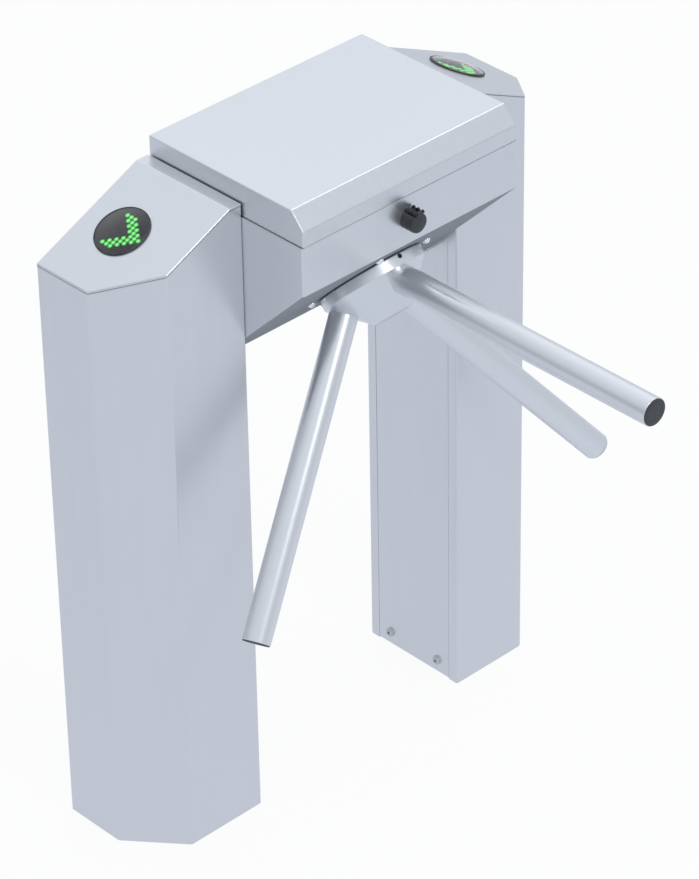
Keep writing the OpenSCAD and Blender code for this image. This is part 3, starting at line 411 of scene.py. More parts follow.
def lamp_green():
    """Green lamps, each bright in the middle and dim at its rim."""
    material = finish("lamp_green", (0.02, 0.14, 0.03), 0.0, 0.35, tone=0.05, tone_scale=(300, 300, 300))
    tree = material.node_tree
    shader = tree.nodes["Principled BSDF"]
    place = tree.nodes.new("ShaderNodeTexCoord").outputs["UV"]
    ramp = tree.nodes.new("ShaderNodeValToRGB")
    ramp.color_ramp.elements[0].position, ramp.color_ramp.elements[1].position = 0.30, 0.90
    ramp.color_ramp.elements[0].color = (0.15, 0.90, 0.12, 1)
    ramp.color_ramp.elements[1].color = (0.015, 0.16, 0.03, 1)
    tree.links.new(along(tree, place, "X"), ramp.inputs["Fac"])
    tree.links.new(ramp.outputs["Color"], shader.inputs["Emission Color"])
    shader.inputs["Emission Strength"].default_value = 1.5
    return material


def circuit_green():
    """Green solder mask; the parts that stand in front of the board are black moulded plastic."""
    material = finish("circuit_green", (0.02, 0.16, 0.07), 0.0, 0.35, tone=0.25, tone_scale=(250, 250, 250))
    place = material.node_tree.nodes.new("ShaderNodeTexCoord").outputs["Object"]
    depth = along(material.node_tree, place, "Y")
    moved_towards(material, depth, BOARD_FACE_Y - 0.1 * MM, BOARD_FACE_Y - 0.3 * MM,
                  {"Base Color": (0.014, 0.014, 0.016, 1), "Roughness": 0.5})
    return material


def standoff_brass():
    """Plain turned brass."""
    return finish("standoff_brass", (0.72, 0.53, 0.24), 1.0, 0.28, tone=0.06, tone_scale=(90, 90, 90))


def coil_blue():
    """Enamelled solenoid cans."""
    return finish("coil_blue", (0.07, 0.14, 0.30), 0.2, 0.38, tone=0.08, tone_scale=(50, 50, 50),
                  bump=0.12, bump_scale=(500, 500, 500))


def black_screw():
    """Black oxide: set screws, the lock's ears and the ground of the lamp boards."""
    return finish("black_screw", (0.006, 0.006, 0.007), 0.0, 0.55, tone=0.2, tone_scale=(300, 300, 300))


MATERIALS = {make.__name__: make() for make in (
    shell_steel, polished_steel, hub_metal, bright_screw, zinc_steel, cast_alloy, bearing_steel,
    tool_steel, black_plastic, lock_black, lock_steel, dark_window, lamp_green, circuit_green,
    standoff_brass, coil_blue, black_screw)}


# Surfaces

def unit(v):
    """A vector of length 1 along v."""
    return v / np.linalg.norm(v)


def filleted(corners, radius):
    """An open outline whose inner corners are arcs: each arc is tangent to both sides of its corner."""
    corners = np.array(corners, float)
    rows = [corners[:1]]
    for a, b, c in zip(corners, corners[1:], corners[2:]):
        u, v = unit(a - b), unit(c - b)
        half = math.acos(float(np.clip(u @ v, -1, 1))) / 2
        r = min(radius, 0.45 * min(np.linalg.norm(a - b), np.linalg.norm(c - b)) * math.tan(half))
        centre = b + unit(u + v) * r / math.sin(half)
        start, end = b + u * r / math.tan(half) - centre, b + v * r / math.tan(half) - centre
        w = np.linspace(0, 1, FILLET_STEPS + 1)[:, None]
        sweep = start * (1 - w) + end * w
        rows.append(centre + r * sweep / np.linalg.norm(sweep, axis=1)[:, None])
    return np.vstack(rows + [corners[-1:]])


def inset(outline, t):
    """A closed anticlockwise outline moved inwards by t: each corner slides along its bisector."""
    before = outline - np.roll(outline, 1, axis=0)
    after = np.roll(outline, -1, axis=0) - outline
    u = before / np.linalg.norm(before, axis=1)[:, None]
    v = after / np.linalg.norm(after, axis=1)[:, None]
    m, n = np.stack([-u[:, 1], u[:, 0]], 1), np.stack([-v[:, 1], v[:, 0]], 1)
    return outline + t * (m + n) / (1 + (m * n).sum(1))[:, None]


def quads(rows, columns, closed=True):
    """Quads between neighbouring rows and columns; the last column meets the first when closed."""
    r, c = np.meshgrid(np.arange(rows - 1), np.arange(columns if closed else columns - 1), indexing="ij")
    d = (c + 1) % columns
    return np.stack([r * columns + c, r * columns + d, (r + 1) * columns + d, (r + 1) * columns + c],
                    -1).reshape(-1, 4).tolist()


def moved(matrix, points):
    """Points carried into a frame: the frame's turn times each point, plus its origin."""
    m = np.array(matrix)
    return points @ m[:3, :3].T + m[:3, 3]


def turned(profile, segments=ROUND_SEGMENTS):
    """A profile of radius and height turned round Z; a radius of 0 at either end becomes a pole."""
    profile = np.array(profile, float)
    low_pole, high_pole = profile[0, 0] == 0, profile[-1, 0] == 0
    rings = profile[int(low_pole):len(profile) - int(high_pole)]
    angle = np.arange(segments) * math.tau / segments
    points = np.stack([rings[:, :1] * np.cos(angle), rings[:, :1] * np.sin(angle),
                       np.repeat(rings[:, 1:], segments, 1)], -1).reshape(-1, 3)
    faces = quads(len(rings), segments)
    step = np.arange(segments)
    following = (step + 1) % segments
    if low_pole:
        faces += np.stack([following, step, np.full(segments, len(points))], 1).tolist()
        points = np.vstack([points, [0, 0, profile[0, 1]]])
    if high_pole:
        top = (len(rings) - 1) * segments
        faces += np.stack([top + step, top + following, np.full(segments, len(points))], 1).tolist()
        points = np.vstack([points, [0, 0, profile[-1, 1]]])
    return points, faces


def joined(shapes):
    """Several shapes as one list of points and one list of faces."""
    points, faces, start = [], [], 0
    for shape_points, shape_faces in shapes:
        points.append(shape_points)
        faces += [[start + i for i in face] for face in shape_faces]
        start += len(shape_points)
    return np.vstack(points), faces


def mirrored(shape):
    """A shape reflected in X, its faces turned so that they still point outwards."""
    points, faces = shape
    return points * (-1, 1, 1), [face[::-1] for face in faces]


def placed(matrix, shape):
    """A shape carried into a frame."""
    return moved(matrix, shape[0]), shape[1]


def prism(outline, low, high):
    """An outline in X and Y raised from low to high, with a face on each end."""
    outline = np.array(outline, float)
    n = len(outline)
    points = np.vstack([np.column_stack([outline, np.full(n, z)]) for z in (low, high)])
    return points, quads(2, n) + [list(range(n))[::-1], list(range(n, 2 * n))]


def added(name, data):
    """A new object in the scene."""
    thing = bpy.data.objects.new(name, data)
    bpy.context.scene.collection.objects.link(thing)
    return thing


def piece(name, shape, slot, body="root", stands_for=(), wall=0, fold=0, edge=0):
    """A shape as an object: folds are rounded, a wall is given inwards, and edges are eased."""
    mesh = bpy.data.meshes.new(name)
    mesh.from_pydata(np.asarray(shape[0]).tolist(), [], shape[1])
    mesh.shade_smooth()
    mesh.set_sharp_from_angle(angle=SMOOTH_BELOW)
    mesh.materials.append(MATERIALS[slot])
    thing = added(name, mesh)
    if fold:
        rounding = thing.modifiers.new("folds", "BEVEL")
        rounding.width, rounding.segments = fold, FOLD_STEPS
        rounding.limit_method, rounding.angle_limit = "ANGLE", FOLD_ABOVE
        rounding.use_clamp_overlap = False
    if wall:
        sheet = thing.modifiers.new("wall", "SOLIDIFY")
        sheet.thickness, sheet.offset = wall, -1
        sheet.use_even_offset = True
    if edge:
        easing = thing.modifiers.new("edges", "BEVEL")
        easing.width, easing.segments = edge, 2
        easing.limit_method, easing.angle_limit = "ANGLE", EDGE_ABOVE
    if fold or edge:
        thing.modifiers.new("normals", "WEIGHTED_NORMAL").keep_sharp = False
    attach(thing, body)
    if stands_for:
        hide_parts(*stands_for)
    return thing


def map_from_points(thing, name, u, v):
    """A UV map in which each corner of a face has the place of its point."""
    index = np.empty(len(thing.data.loops), int)
    thing.data.loops.foreach_get("vertex_index", index)
    layer = thing.data.uv_layers.new(name=name)
    layer.data.foreach_set("uv", np.column_stack([u, v])[index].ravel())


def holed(corners, centre, u, v, radius, cuts):
    """A flat face round a hole as two faces: the cuts join two of its corners to the hole."""
    angle = np.arange(HOLE_STEPS) * math.tau / HOLE_STEPS
    hole = centre + radius * (np.cos(angle)[:, None] * u + np.sin(angle)[:, None] * v)
    corners = np.array(corners, float)
    n = len(corners)
    near = [int(np.argmin(np.linalg.norm(hole - corners[i], axis=1))) for i in cuts]
    faces = []
    for (a, b), (c, d) in ((cuts, near[::-1]), (cuts[::-1], near)):
        outer = [(a + i) % n for i in range((b - a) % n + 1)]
        inner = [n + (c - i) % HOLE_STEPS for i in range((c - d) % HOLE_STEPS + 1)]
        faces.append(outer + inner)
    return np.vstack([corners, hole]), faces


# Legs

def roof_knee(t):
    """Where the far cap's roof starts to slope, once it is lowered by t square to it."""
    return BRIDGE_X + CAP_FLAT - t * math.tan(ROOF_A / 2)


def roof_z(x, t):
    """Height of the far cap's roof lowered by t square to it: level beside the housing, then sloping."""
    return LEG_TOP_Z - t - np.maximum(0, x - roof_knee(t)) * math.tan(ROOF_A)


def leg_plan(t, drop):
    """Plan of the far leg, t inside its faces, with points where a roof lowered by drop bends."""
    corners = inset(np.array([[BRIDGE_X, -BACK_Y], [OUTER_X - CORNER_X, -BACK_Y],
                              [OUTER_X, -BACK_Y + CORNER_Y], [OUTER_X, BACK_Y], [BRIDGE_X, BACK_Y]]), t)
    front, back = [[roof_knee(drop), corners[0, 1]]], [[roof_knee(drop), corners[4, 1]]]
    return np.vstack([corners[:1], front, corners[1:4], back, corners[4:]])


def panel_outline(g):
    """Outline in Y and Z of the service panel grown by g; its top follows the housing's underside."""
    top, knee = BOTTOM_Z - PANEL_DROP, FOOT_Y - PANEL_DROP * math.tan(TILT / 2)
    return inset(np.array([[-PANEL_HALF, PANEL_LOW[2]], [PANEL_HALF, PANEL_LOW[2]], [PANEL_HALF, top],
                           [knee, top], [-PANEL_HALF, top + knee + PANEL_HALF]]), -g)


def leg_shell():
    """The far leg's folded wall: its plan raised to the joint, and one inner face round the panel."""
    drop = CAP_SKIRT + CAP_JOINT
    plan = leg_plan(0, drop)
    n = len(plan)
    low = np.column_stack([plan, np.zeros(n)])
    high = np.column_stack([plan, roof_z(plan[:, 0], drop)])
    opening = panel_outline(PANEL_GAP)
    opening[:2, 1] = 0
    inner = np.column_stack([np.full(len(opening), BRIDGE_X), opening])
    inner_face = [0, n, 2 * n - 1, n - 1] + [2 * n + i for i in (1, 2, 3, 4, 0)]
    return np.vstack([low, high, inner]), quads(2, n, closed=False) + [inner_face]


def leg_collar():
    """The band inside the far leg that the cap sits on; it shows through the open joint only."""
    deep = CAP_SKIRT + CAP_JOINT + COLLAR_LAP
    plan = leg_plan(SHEET, SHEET)
    low = np.column_stack([plan, roof_z(plan[:, 0], deep)])
    high = np.column_stack([plan, roof_z(plan[:, 0], SHEET + EDGE_R)])
    return np.vstack([low, high]), quads(2, len(plan))


def panel_frame():
    """The flat frame behind the far service panel: a ring between two outlines of the panel."""
    outer, inner = panel_outline(RAIL_W), panel_outline(-RAIL_W)
    outer[:2, 1] = FRAME_FOOT_Z
    inner[:2, 1] = PANEL_BOLT_Z + RAIL_W
    rings = [np.column_stack([np.full(len(ring), BRIDGE_X + SHEET), ring]) for ring in (outer, inner)]
    return np.vstack(rings), [face[::-1] for face in quads(2, len(outer))]


def cap_shell():
    """The far cap: a folded skirt, a level strip and a slope bored for the indicator."""
    plan = leg_plan(0, 0)
    n = len(plan)
    low = np.column_stack([plan, roof_z(plan[:, 0], CAP_SKIRT)])
    high = np.column_stack([plan, roof_z(plan[:, 0], 0)])
    slope_corners = [1, 2, 3, 4, 5]
    u = np.array([math.cos(ROOF_A), 0, -math.sin(ROOF_A)])
    v = np.array([0.0, 1.0, 0.0])
    slope, cut = holed(high[slope_corners], np.array(ROOF_AT), u, v, IND_R - IND_SEAT, (1, 4))
    at = [n + i for i in slope_corners] + list(range(2 * n, 2 * n + len(slope) - len(slope_corners)))
    level_face = [n + i for i in (0, 1, 5, 6)]
    faces = quads(2, n) + [level_face] + [[at[i] for i in face] for face in cut]
    return np.vstack([low, high, slope[len(slope_corners):]]), faces


def service_panel():
    """The far service panel as a flat plate just inside the leg's inner face."""
    outline = panel_outline(0)
    points = np.column_stack([np.full(len(outline), BRIDGE_X), outline])
    return points, [list(range(len(points)))[::-1]]


def screw(radius, length, head):
    """A screw turned from one profile: a shank half as wide as the head, and the outline of the head."""
    shank = [[0, -length], [radius / 2, -length], [radius / 2, 0], [radius, 0]]
    return turned(np.vstack([shank, head]), SCREW_SEGMENTS)


def dome(radius, height):
    """The outline of a dome head: an arc of a circle from an eased rim to the top."""
    rim = 0.07 * height
    ball = (radius ** 2 + height ** 2) / (2 * height)
    angle = np.linspace(math.asin(radius / ball), 0, 9)
    head = np.column_stack([ball * np.sin(angle), height - ball + ball * np.cos(angle)])
    head[0, 1], head[-1, 0] = rim, 0
    return head


def button(radius, height):
    """The outline of a button head: a short upright rim, a crown and a socket sunk in its middle."""
    rim, socket, floor_z = 0.35 * height, 0.36 * radius, 0.35 * height
    angle = np.linspace(0, 1.2, 7)
    reach = radius - socket
    crown = np.column_stack([radius - reach * (1 - np.cos(angle)), rim + (height - rim) * np.sin(angle)])
    crown[-1] = socket, height
    return np.vstack([crown, [[socket, floor_z], [0, floor_z]]])


def panel_bolts():
    """Button-head bolts at the foot of the far panel."""
    out = Matrix.Rotation(-math.pi / 2, 4, "Y")
    bolt = screw(PANEL_BOLT_R, PANEL_BOLT_L, button(PANEL_BOLT_R, PANEL_BOLT_H))
    return joined([placed(Matrix.Translation((BRIDGE_X, s * PANEL_BOLT_S / 2, PANEL_BOLT_Z)) @ out, bolt)
                   for s in (-1, 1)])


def both_sides(node, ending, shape, stands=True, **looks):
    """The far piece and its mirror image, each standing for the CAD node of its own side."""
    for side, one in (("near_", mirrored(shape)), ("far_", shape)):
        piece(side + node + ending, one, "shell_steel", stands_for=[side + node] if stands else (),
              wall=SHEET, **looks)


def legs():
    """Both legs with their collars, frames, caps and panels."""
    both_sides("leg", "_shell", leg_shell(), fold=FOLD_R)
    both_sides("leg", "_collar", leg_collar(), stands=False)
    both_sides("panel", "_frame", panel_frame(), stands=False)
    both_sides("cap", "_shell", cap_shell(), fold=CAP_FOLD_R)
    both_sides("service_panel", "_plate", service_panel(), edge=EDGE_R)
    bolts = panel_bolts()
    piece("panel_bolt_heads", joined([bolts, mirrored(bolts)]), "zinc_steel",
          stands_for=["service_panel_bolts"])


# Housing and lid

def trough(section, x, holes):
    """A folded trough: a section in Y and Z carried from -x to x, with a face on each end of it and no
    face between its own first and last point. Holes are given as {side: (centre, radius)}."""
    section = np.array(section, float)
    n = len(section)
    left, right = (np.column_stack([np.full(n, s * x), section]) for s in (-1, 1))
    points, faces = np.vstack([left, right]), [list(range(n)), list(range(n, 2 * n))[::-1]]
    for i in range(n - 1):
        corners = [i, n + i, n + i + 1, i + 1]
        if i not in holes:
            faces.append(corners)
            continue
        centre, radius = holes[i]
        u = unit(points[corners[1]] - points[corners[0]])
        v = unit(points[corners[2]] - points[corners[1]])
        ring, cut = holed(points[corners], np.array(centre), u, v, radius, (0, 2))
        at = corners + list(range(len(points), len(points) + len(ring) - 4))
        points = np.vstack([points, ring[4:]])
        faces += [[at[k] for k in face] for face in cut]
    return points, faces


def housing_shell():
    """The folded trough: front, slanting underside, bottom, back and two ends."""
    section = [[FRONT_Y, SEAM_Z], [FRONT_Y, SEAM_Z - FRONT_H], [FOOT_Y, BOTTOM_Z], [BACK_Y, BOTTOM_Z],
               [BACK_Y, SEAM_Z]]
    holes = {0: ((LOCK_X, FRONT_Y, LOCK_Z), LOCK_TAIL_R), 1: ((0, HUB_Y, HUB_Z), SHAFT_HOLE_R)}
    points, faces = trough(section, BRIDGE_X, holes)
    return points, [face[::-1] for face in faces]


def housing_rim():
    """The folded rim: a ledge inside the housing's edge and an upright lip that the lid closes over."""
    lip, ledge_z = SHEET + RIM_GAP, SEAM_Z - RIM_H + SHEET
    points = []
    for x, depth, z in ((BRIDGE_X - SHEET, SHEET, ledge_z), (LID_X - lip, lip, ledge_z),
                        (LID_X - lip, lip, SEAM_Z + RIM_H)):
        front, back = FRONT_Y + depth, BACK_Y - depth
        points += [[-x, front, z], [x, front, z], [x, back, z], [-x, back, z]]
    return np.array(points), quads(3, 4)


def lid_shell():
    """The folded lid: front, bevel, top, back and two ends, open below."""
    section = [[FRONT_Y, LID_LOW[2]], [FRONT_Y, LID_HIGH[2] - BEVEL_DROP],
               [FRONT_Y + BEVEL_BACK, LID_HIGH[2]], [BACK_Y, LID_HIGH[2]], [BACK_Y, LID_LOW[2]]]
    return trough(section, LID_X, {})


def housing_and_lid():
    """The bridge between the legs."""
    piece("housing_shell", housing_shell(), "shell_steel", stands_for=["housing_body"],
          wall=SHEET, fold=FOLD_R)
    piece("housing_rim", housing_rim(), "shell_steel", wall=SHEET, edge=EDGE_R)
    piece("lid_shell", lid_shell(), "shell_steel", body="lid", stands_for=["lid"], wall=SHEET,
          fold=LID_FOLD_R)


# Rotor

def hub():
    """The hub: a band, a cone and a flat end turned from one profile with eased corners."""
    profile = filleted([[0, HUB_GAP], [HUB_R, HUB_GAP], [HUB_R, HUB_BAND], [HUB_END_R, HUB_H], [0, HUB_H]],
                       HUB_EDGE_R)
    band = np.column_stack([np.full(3, HUB_R), np.linspace(HUB_GAP + BAND_EASE, HUB_BAND - BAND_EASE, 3)])
    corner = int(np.argmax(profile[:, 1] > HUB_GAP + 0.8 * BAND_EASE))
    return placed(ON_SLOPE, turned(np.vstack([profile[:corner], band, profile[corner:]]), HUB_SEGMENTS))


def arm(k):
    """An arm's tube: outer wall, eased end and inner wall turned round the arm's own axis."""
    stations = np.linspace(ARM_ROOT, ARM_TIP - ARM_END, ARM_STATIONS)
    outside = np.column_stack([np.full(ARM_STATIONS, ARM_R), stations])
    end = filleted([[ARM_R, ARM_TIP - ARM_END], [ARM_R, ARM_TIP], [ARM_BORE_R, ARM_TIP]], ARM_END_R)[1:]
    inside = [[ARM_BORE_R, ARM_TIP - ARM_HOLLOW], [0, ARM_TIP - ARM_HOLLOW]]
    return placed(on_arm(k), turned(np.vstack([[[0, ARM_ROOT]], outside, end, inside])))


def map_along_arm(thing, k):
    """A UV map in metres: U runs round the tube, V along it."""
    points = np.array([point.co for point in thing.data.vertices])
    local = moved(on_arm(k).inverted(), points)
    map_from_points(thing, "tube", np.arctan2(local[:, 1], local[:, 0]) * ARM_R, local[:, 2])


def arm_cap(k):
    """A black end cap: a shallow crown with an eased rim, and its plug inside the tube."""
    plug_r, plug_end = ARM_BORE_R - PLUG_GAP, ARM_TIP - PLUG_DEPTH
    crown = filleted([[plug_r, plug_end], [plug_r, ARM_TIP], [ARM_CAP_R, ARM_TIP],
                      [ARM_CAP_R, ARM_REACH - ARM_CAP_EASE_R], [ARM_CAP_FACE_R, ARM_REACH],
                      [0, ARM_REACH]], ARM_CAP_EASE_R)
    return placed(on_arm(k), turned(np.vstack([[[0, plug_end]], crown]), ARM_CAP_SEGMENTS))


def set_screw(k):
    """A grub screw flush with the hub's band: a ring round a six-sided socket."""
    out = Matrix.Translation((0, 0, SET_SCREW_H)) @ Matrix.Rotation(math.pi / 2, 4, "Y")
    face, n = HUB_R + SET_SCREW_PROUD, 24
    angle = np.arange(n) * math.tau / n
    circle = np.column_stack([np.cos(angle), np.sin(angle)])
    hexagon = circle / np.cos((angle + math.pi / 6) % (math.pi / 3) - math.pi / 6)[:, None]
    rings = [(SET_SCREW_R * circle, face - SET_SCREW_L), (SET_SCREW_R * circle, face),
             (SOCKET_R * hexagon, face), (SOCKET_R * hexagon, face - SOCKET_DEPTH)]
    points = np.vstack([np.column_stack([ring, np.full(n, z)]) for ring, z in rings])
    faces = quads(4, n) + [list(range(3 * n, 4 * n)), list(range(n))[::-1]]
    return placed(round_shaft(k) @ out, (points, faces))


def rotor():
    """Hub, arms, caps and set screws, all on the shaft."""
    piece("hub_turned", hub(), "hub_metal", body="rotor", stands_for=["hub"])
    for k, node in enumerate(("front_arm", "near_arm", "far_arm")):
        tube = piece(node + "_tube", arm(k), "polished_steel", body="rotor", stands_for=[node])
        map_along_arm(tube, k)
    piece("arm_cap_crowns", joined([arm_cap(k) for k in range(ARM_N)]), "black_plastic", body="rotor",
          stands_for=["arm_caps"])
    piece("set_screw_sockets", joined([set_screw(k) for k in range(ARM_N)]), "black_screw", body="rotor",
          stands_for=["arm_set_screws"])


def hub_screws():
    """Dome-head screws round the hub."""
    one = screw(PLATE_SCREW_R, PLATE_SCREW_L, dome(PLATE_SCREW_R, PLATE_SCREW_H))
    heads = []
    for i in range(PLATE_SCREW_N):
        turn = Matrix.Rotation(PLATE_SCREW_ANGLE + i * math.tau / PLATE_SCREW_N, 4, "Z")
        heads.append(placed(ON_SLOPE @ turn @ Matrix.Translation((PLATE_SCREW_RING, 0, 0)), one))
    piece("hub_screw_heads", joined(heads), "bright_screw", stands_for=["plate_screws"])


# Direction indicators

def bezel():
    """The indicator's ring: a rolled lip outside, a seat for the cover and a barrel below."""
    inside = BARREL_R - BEZEL_WALL
    return turned(filleted([[inside, -BARREL_L], [BARREL_R, -BARREL_L], [BARREL_R, 0], [IND_R, 0],
                            [IND_R, BEZEL_H], [IND_R - BEZEL_RIM, BEZEL_H],
                            [IND_R - BEZEL_RIM, WINDOW_LOW], [inside, WINDOW_LOW],
                            [inside, -BARREL_L + SLIT]], BEZEL_EDGE_R), INDICATOR_SEGMENTS)


def window_z(r):
    """Height of the cover's crown at a distance from its centre: its top less a share of r squared."""
    return WINDOW_TOP - WINDOW_CROWN * (r / IND_R) ** 2


def window():
    """The clear cover: a thin crowned wall on a flat rim, the inner crown a wall's depth below the outer."""
    inner_end, outer_end, n = 0.955 * WINDOW_R, 0.985 * WINDOW_R, 16
    inner, outer = np.linspace(0, inner_end, n), np.linspace(outer_end, 0, n)
    return turned(np.vstack([np.column_stack([inner, window_z(inner) - WINDOW_WALL]),
                             [[WINDOW_R, WINDOW_LOW], [WINDOW_R, window_z(WINDOW_R) - WINDOW_EASE]],
                             np.column_stack([outer, window_z(outer)])]), INDICATOR_SEGMENTS)


def lamp_ground():
    """The dark face of the lamp board: a thin disc below the cover."""
    back = BOARD_TOP - BOARD_T
    return turned([[0, back], [BOARD_R, back], [BOARD_R, BOARD_TOP], [0, BOARD_TOP]])


def lamps():
    """Lamps in an arrowhead: row k lies beside the point, and each row is three lamps deep."""
    one = turned(np.column_stack([LED_R * LAMP_RINGS, LED_H * np.sqrt(1 - LAMP_RINGS ** 2)]), LAMP_SEGMENTS)
    k, j = np.meshgrid(np.arange(-LED_ROWS, LED_ROWS + 1), np.arange(LED_DEEP), indexing="ij")
    x = LED_SIDE + k.ravel() * ROW_PITCH
    y = (np.abs(k.ravel()) + j.ravel()) * LED_PITCH - LED_FRONT
    return joined([(one[0] + (*place, BOARD_TOP + LED_SEAT), one[1]) for place in zip(x, y)])


def map_from_lamp_centre(thing):
    """A UV map whose U is a point's distance from its lamp's centre, as a share of the lamp's radius."""
    one = np.append(np.repeat(LAMP_RINGS[:-1], LAMP_SEGMENTS), LAMP_RINGS[-1])
    u = np.tile(one, len(thing.data.vertices) // len(one))
    map_from_points(thing, "lamp", u, np.full(len(u), 0.5))


def indicators():
    """The ring, clear cover, board and lamps on each cap."""
    for side, turn in (("near", mirrored), ("far", lambda shape: shape)):
        piece(side + "_bezel_ring", turn(placed(ON_ROOF, bezel())), "black_plastic",
              stands_for=[side + "_indicator_bezel"])
        piece(side + "_window_disc", turn(placed(ON_ROOF, window())), "dark_window",
              stands_for=[side + "_indicator_lens"])
        piece(side + "_lamp_ground", turn(placed(ON_ROOF, lamp_ground())), "black_screw")
        glow = piece(side + "_lamps", turn(placed(ON_ROOF, lamps())), "lamp_green",
                     stands_for=[side + "_lamp_board"])
        map_from_lamp_centre(glow)


# Key lock

def lock_collar():
    """The collar, a shallow groove near its front, and the threaded tail behind the front sheet."""
    groove = [[LOCK_R - deep, z] for deep, z in GROOVE]
    profile = filleted([[KEYWAY_R, -LOCK_TAIL], [LOCK_TAIL_R, -LOCK_TAIL], [LOCK_TAIL_R, 0], [LOCK_R, 0],
                        *groove, [LOCK_R, LOCK_PROUD], [KEYWAY_R, LOCK_PROUD],
                        [KEYWAY_R, -LOCK_TAIL + SLIT]], LOCK_EDGE_R)
    return placed(ON_LOCK, turned(profile))


def side_plate(outline, low_x, high_x):
    """An outline in Y and Z as a plate between two places on X."""
    upright = Matrix(((0, 0, 1, 0), (1, 0, 0, 0), (0, 1, 0, 0), (0, 0, 0, 1)))
    return placed(upright, prism(outline, low_x, high_x))


def round_tops(centre_y, centre_z, radius, low_z, back_y):
    """An upright outline with three round tops from the pin to the back, and dips between them."""
    angle = np.linspace(math.pi, 0, 13)
    dip_y, dip_z = 1.5 * radius, 0.4 * radius
    rows = [[[centre_y - radius, low_z]]]
    for y in np.linspace(centre_y, back_y - radius, 3):
        rows.append(np.column_stack([y + radius * np.cos(angle), centre_z + radius * np.sin(angle)]))
        rows.append([[y + dip_y, centre_z - dip_z]])
    return np.vstack(rows[:-1] + [[[back_y, low_z]]])[::-1]


def lock_ears():
    """Two ears with round tops that carry the flap's pin."""
    inner, low = COVER_TONGUE + FREE_GAP, LOCK_Z + COVER_R + FREE_GAP
    outline = round_tops(COVER_AXIS_Y, COVER_AXIS_Z, COVER_BARREL_R, low, LOCK_FRONT_Y + EAR_L)
    ears = [side_plate(outline, *sorted((LOCK_X + s * inner, LOCK_X + s * (inner + EAR_T))))
            for s in (-1, 1)]
    pin = Matrix.Translation((LOCK_X, COVER_AXIS_Y, COVER_AXIS_Z)) @ Matrix.Rotation(math.pi / 2, 4, "Y")
    reach = inner + EAR_T + PIN_PROUD
    ends = filleted([[0, -reach], [PIN_R, -reach], [PIN_R, reach], [0, reach]], PIN_PROUD)
    return joined(ears + [placed(pin, turned(ends, PIN_SEGMENTS))])


def lock_cover():
    """The flap: a disc with a flat top and eased rims, its tongue and the barrel round the pin."""
    back = LOCK_FRONT_Y - FREE_GAP
    face = back - COVER_T
    flat = COVER_R - COVER_RELIEF
    half, n = math.asin(flat / COVER_R), COVER_STEPS
    angle = np.linspace(half, -math.pi - half, n)
    disc = np.column_stack([COVER_R * np.cos(angle), COVER_R * np.sin(angle)])
    rows = []
    for shrink, behind in COVER_RIM:
        ring = disc * (1 - shrink / COVER_R)
        rows.append(np.column_stack([LOCK_X + ring[:, 0], np.full(n, face + behind), LOCK_Z + ring[:, 1]]))
    faces = quads(4, n) + [list(range(n))[::-1], list(range(3 * n, 4 * n))]
    round_pin = np.linspace(-0.25 * math.pi, 1.25 * math.pi, 19)
    barrel = np.column_stack([COVER_AXIS_Y + COVER_BARREL_R * np.cos(round_pin),
                              COVER_AXIS_Z + COVER_BARREL_R * np.sin(round_pin)])
    root_y, root_z = face + 0.5 * MM, LOCK_Z + flat - 2 * MM
    tongue = np.vstack([barrel, [[root_y, root_z], [back, root_z]]])
    return joined([(np.vstack(rows), [ring[::-1] for ring in faces]),
                   side_plate(tongue, LOCK_X - COVER_TONGUE, LOCK_X + COVER_TONGUE)])


def key_lock():
    """The lock's collar, ears and flap."""
    piece("lock_collar", lock_collar(), "lock_black", stands_for=["lock_body"])
    piece("lock_ears", lock_ears(), "black_screw", edge=EAR_EDGE_R)
    piece("lock_flap", lock_cover(), "lock_black", body="lock_cover", stands_for=["lock_cover"])


# Nodes whose shape is right keep it and take a finish

def dress_nodes():
    """Each CAD node takes the material of its slot in the record."""
    slot_of = {part["node"]: part["material_slot"] for part in frame["record"]["subparts"]}
    for name, thing in frame["nodes"].items():
        thing.data.materials.clear()
        thing.data.materials.append(MATERIALS[slot_of[name]])


# Camera, light and stage

def camera():
    """A long lens on the photograph's line of sight, with the picture's slight roll."""
    right, up, back = (Vector(v) for v in ((0.728, -0.686, 0), (0.384, 0.4075, 0.829),
                                           (-0.5686, -0.603, 0.5597)))
    aim, distance, roll = Vector((0.0001, -0.0787, 0.5244)), 5.924, math.radians(-1.03)
    across = right * math.cos(roll) + up * math.sin(roll)
    above = up * math.cos(roll) - right * math.sin(roll)
    data = bpy.data.cameras.new("camera")
    data.sensor_fit, data.sensor_width, data.lens = "HORIZONTAL", 36, 220.65
    thing = added("camera", data)
    turn = Matrix((across, above, back)).transposed().to_4x4()
    thing.matrix_world = Matrix.Translation(aim + back * distance) @ turn
    bpy.context.scene.camera = thing


def soft_light(name, place, target, size, power):
    """A square area light that faces a point."""
    data = bpy.data.lights.new(name, "AREA")
    data.shape, data.size, data.energy = "SQUARE", size, power
    aim = (Vector(target) - Vector(place)).to_track_quat("-Z", "Y").to_matrix().to_4x4()
    added(name, data).matrix_world = Matrix.Translation(place) @ aim


def seen_directly(tree, also_glossy=False):
    """1 for rays that show a surface to the camera, also through a clear cover, and 0 for rays that only
    light the object. Mirrored rays count as 1 when also_glossy is true."""
    path = tree.nodes.new("ShaderNodeLightPath")
    total = path.outputs["Is Camera Ray"]
    for name in ["Is Transmission Ray"] + (["Is Glossy Ray"] if also_glossy else []):
        add = tree.nodes.new("ShaderNodeMath")
        add.operation, add.use_clamp = "ADD", True
        tree.links.new(total, add.inputs[0])
        tree.links.new(path.outputs[name], add.inputs[1])
        total = add.outputs[0]
    return total


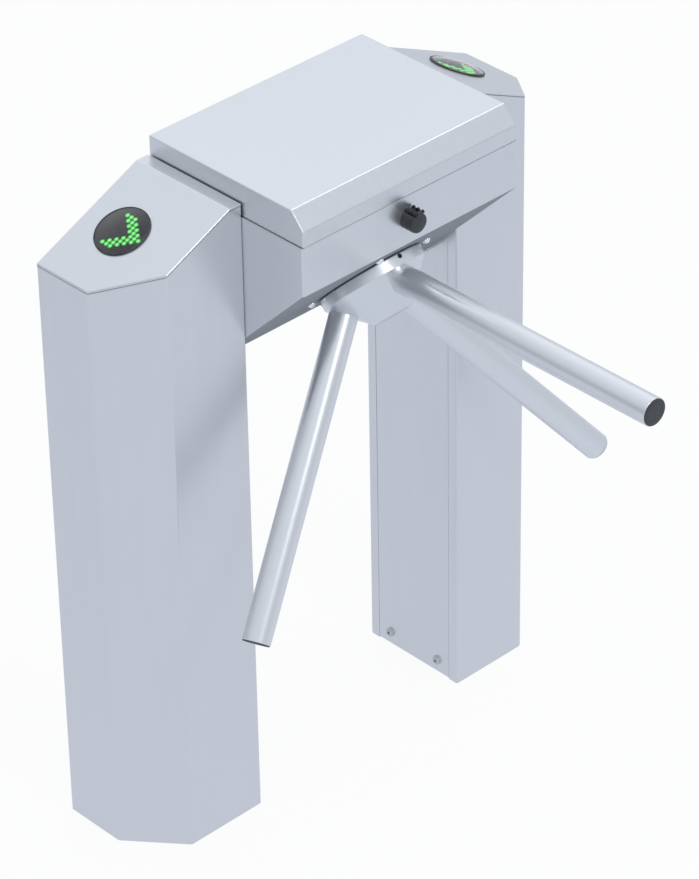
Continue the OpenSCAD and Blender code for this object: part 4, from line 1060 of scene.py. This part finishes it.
def surroundings():
    """A white background. Its light is dim at the horizon, most of all at the left, and bright above it,
    most of all at the back right."""
    white, blue_white, black = (1, 1, 1, 1), (0.88, 0.93, 1, 1), (0, 0, 0, 1)
    left_back, right_back = (-0.8, 0.6, 0), (0.687, 0.727, 0)
    world = bpy.data.worlds.new("studio")
    bpy.context.scene.world = world
    world.use_nodes = True
    tree = world.node_tree
    direction = tree.nodes.new("ShaderNodeTexCoord").outputs["Generated"]

    def towards(point):
        product = tree.nodes.new("ShaderNodeVectorMath")
        product.operation = "DOT_PRODUCT"
        product.inputs[1].default_value = point
        tree.links.new(direction, product.inputs[0])
        return product.outputs["Value"]

    height = ranged(tree, along(tree, direction, "Z"), 0.08, 0.6, smooth=True)
    horizon = ranged(tree, towards(left_back), -0.2, 0.9, 0.68, 0.50, smooth=True)
    above = ranged(tree, towards(right_back), 0, 1, 0.78, 1.14, smooth=True)
    strength = mixed(tree, height, horizon, above, colour=False)
    sky = mixed(tree, strength, black, blue_white, clamp=False)
    tree.links.new(mixed(tree, seen_directly(tree), sky, white), tree.nodes["Background"].inputs["Color"])


def floor():
    """A pale floor: a flat grid of points that fades into the background and keeps the object's shadow."""
    half, n, z = 6.0, 13, -0.5 * MM
    white, shade, glow_share = (1, 1, 1, 1), (0.69, 0.73, 0.81, 1), 0.92
    steps = np.linspace(-half, half, n)
    x, y = np.meshgrid(steps, steps, indexing="xy")
    points = np.stack([x, y, np.full_like(x, z)], -1).reshape(-1, 3)
    mesh = bpy.data.meshes.new("floor")
    mesh.from_pydata(points.tolist(), [], quads(n, n, closed=False))
    material = finish("floor_paint", (0.88, 0.885, 0.90), 0.0, 0.7, tone=0.01, bump=0.02)
    mesh.materials.append(material)
    tree = material.node_tree
    glow = tree.nodes.new("ShaderNodeEmission")
    tree.links.new(mixed(tree, seen_directly(tree), shade, white), glow.inputs["Color"])
    weight = tree.nodes.new("ShaderNodeMath")
    weight.operation = "MULTIPLY"
    weight.inputs[1].default_value = glow_share
    tree.links.new(seen_directly(tree, also_glossy=True), weight.inputs[0])
    mix = tree.nodes.new("ShaderNodeMixShader")
    tree.links.new(weight.outputs[0], mix.inputs[0])
    tree.links.new(tree.nodes["Principled BSDF"].outputs["BSDF"], mix.inputs[1])
    tree.links.new(glow.outputs["Emission"], mix.inputs[2])
    tree.links.new(mix.outputs[0], tree.nodes["Material Output"].inputs["Surface"])
    added("floor", mesh)


dress_nodes()
legs()
housing_and_lid()
rotor()
hub_screws()
indicators()
key_lock()
camera()
surroundings()
floor()
soft_light("overhead", (-0.6, -0.8, 3.6), (0, 0, 0.8), 2.4, 11)
soft_light("right", (2.0, -0.1, 3.8), (0, -0.1, 0.9), 1.0, 7)
soft_light("front", (-0.1, -2.5, 2.6), (0, -0.1, 0.6), 0.7, 13)
bpy.context.scene.view_settings.view_transform = "Standard"
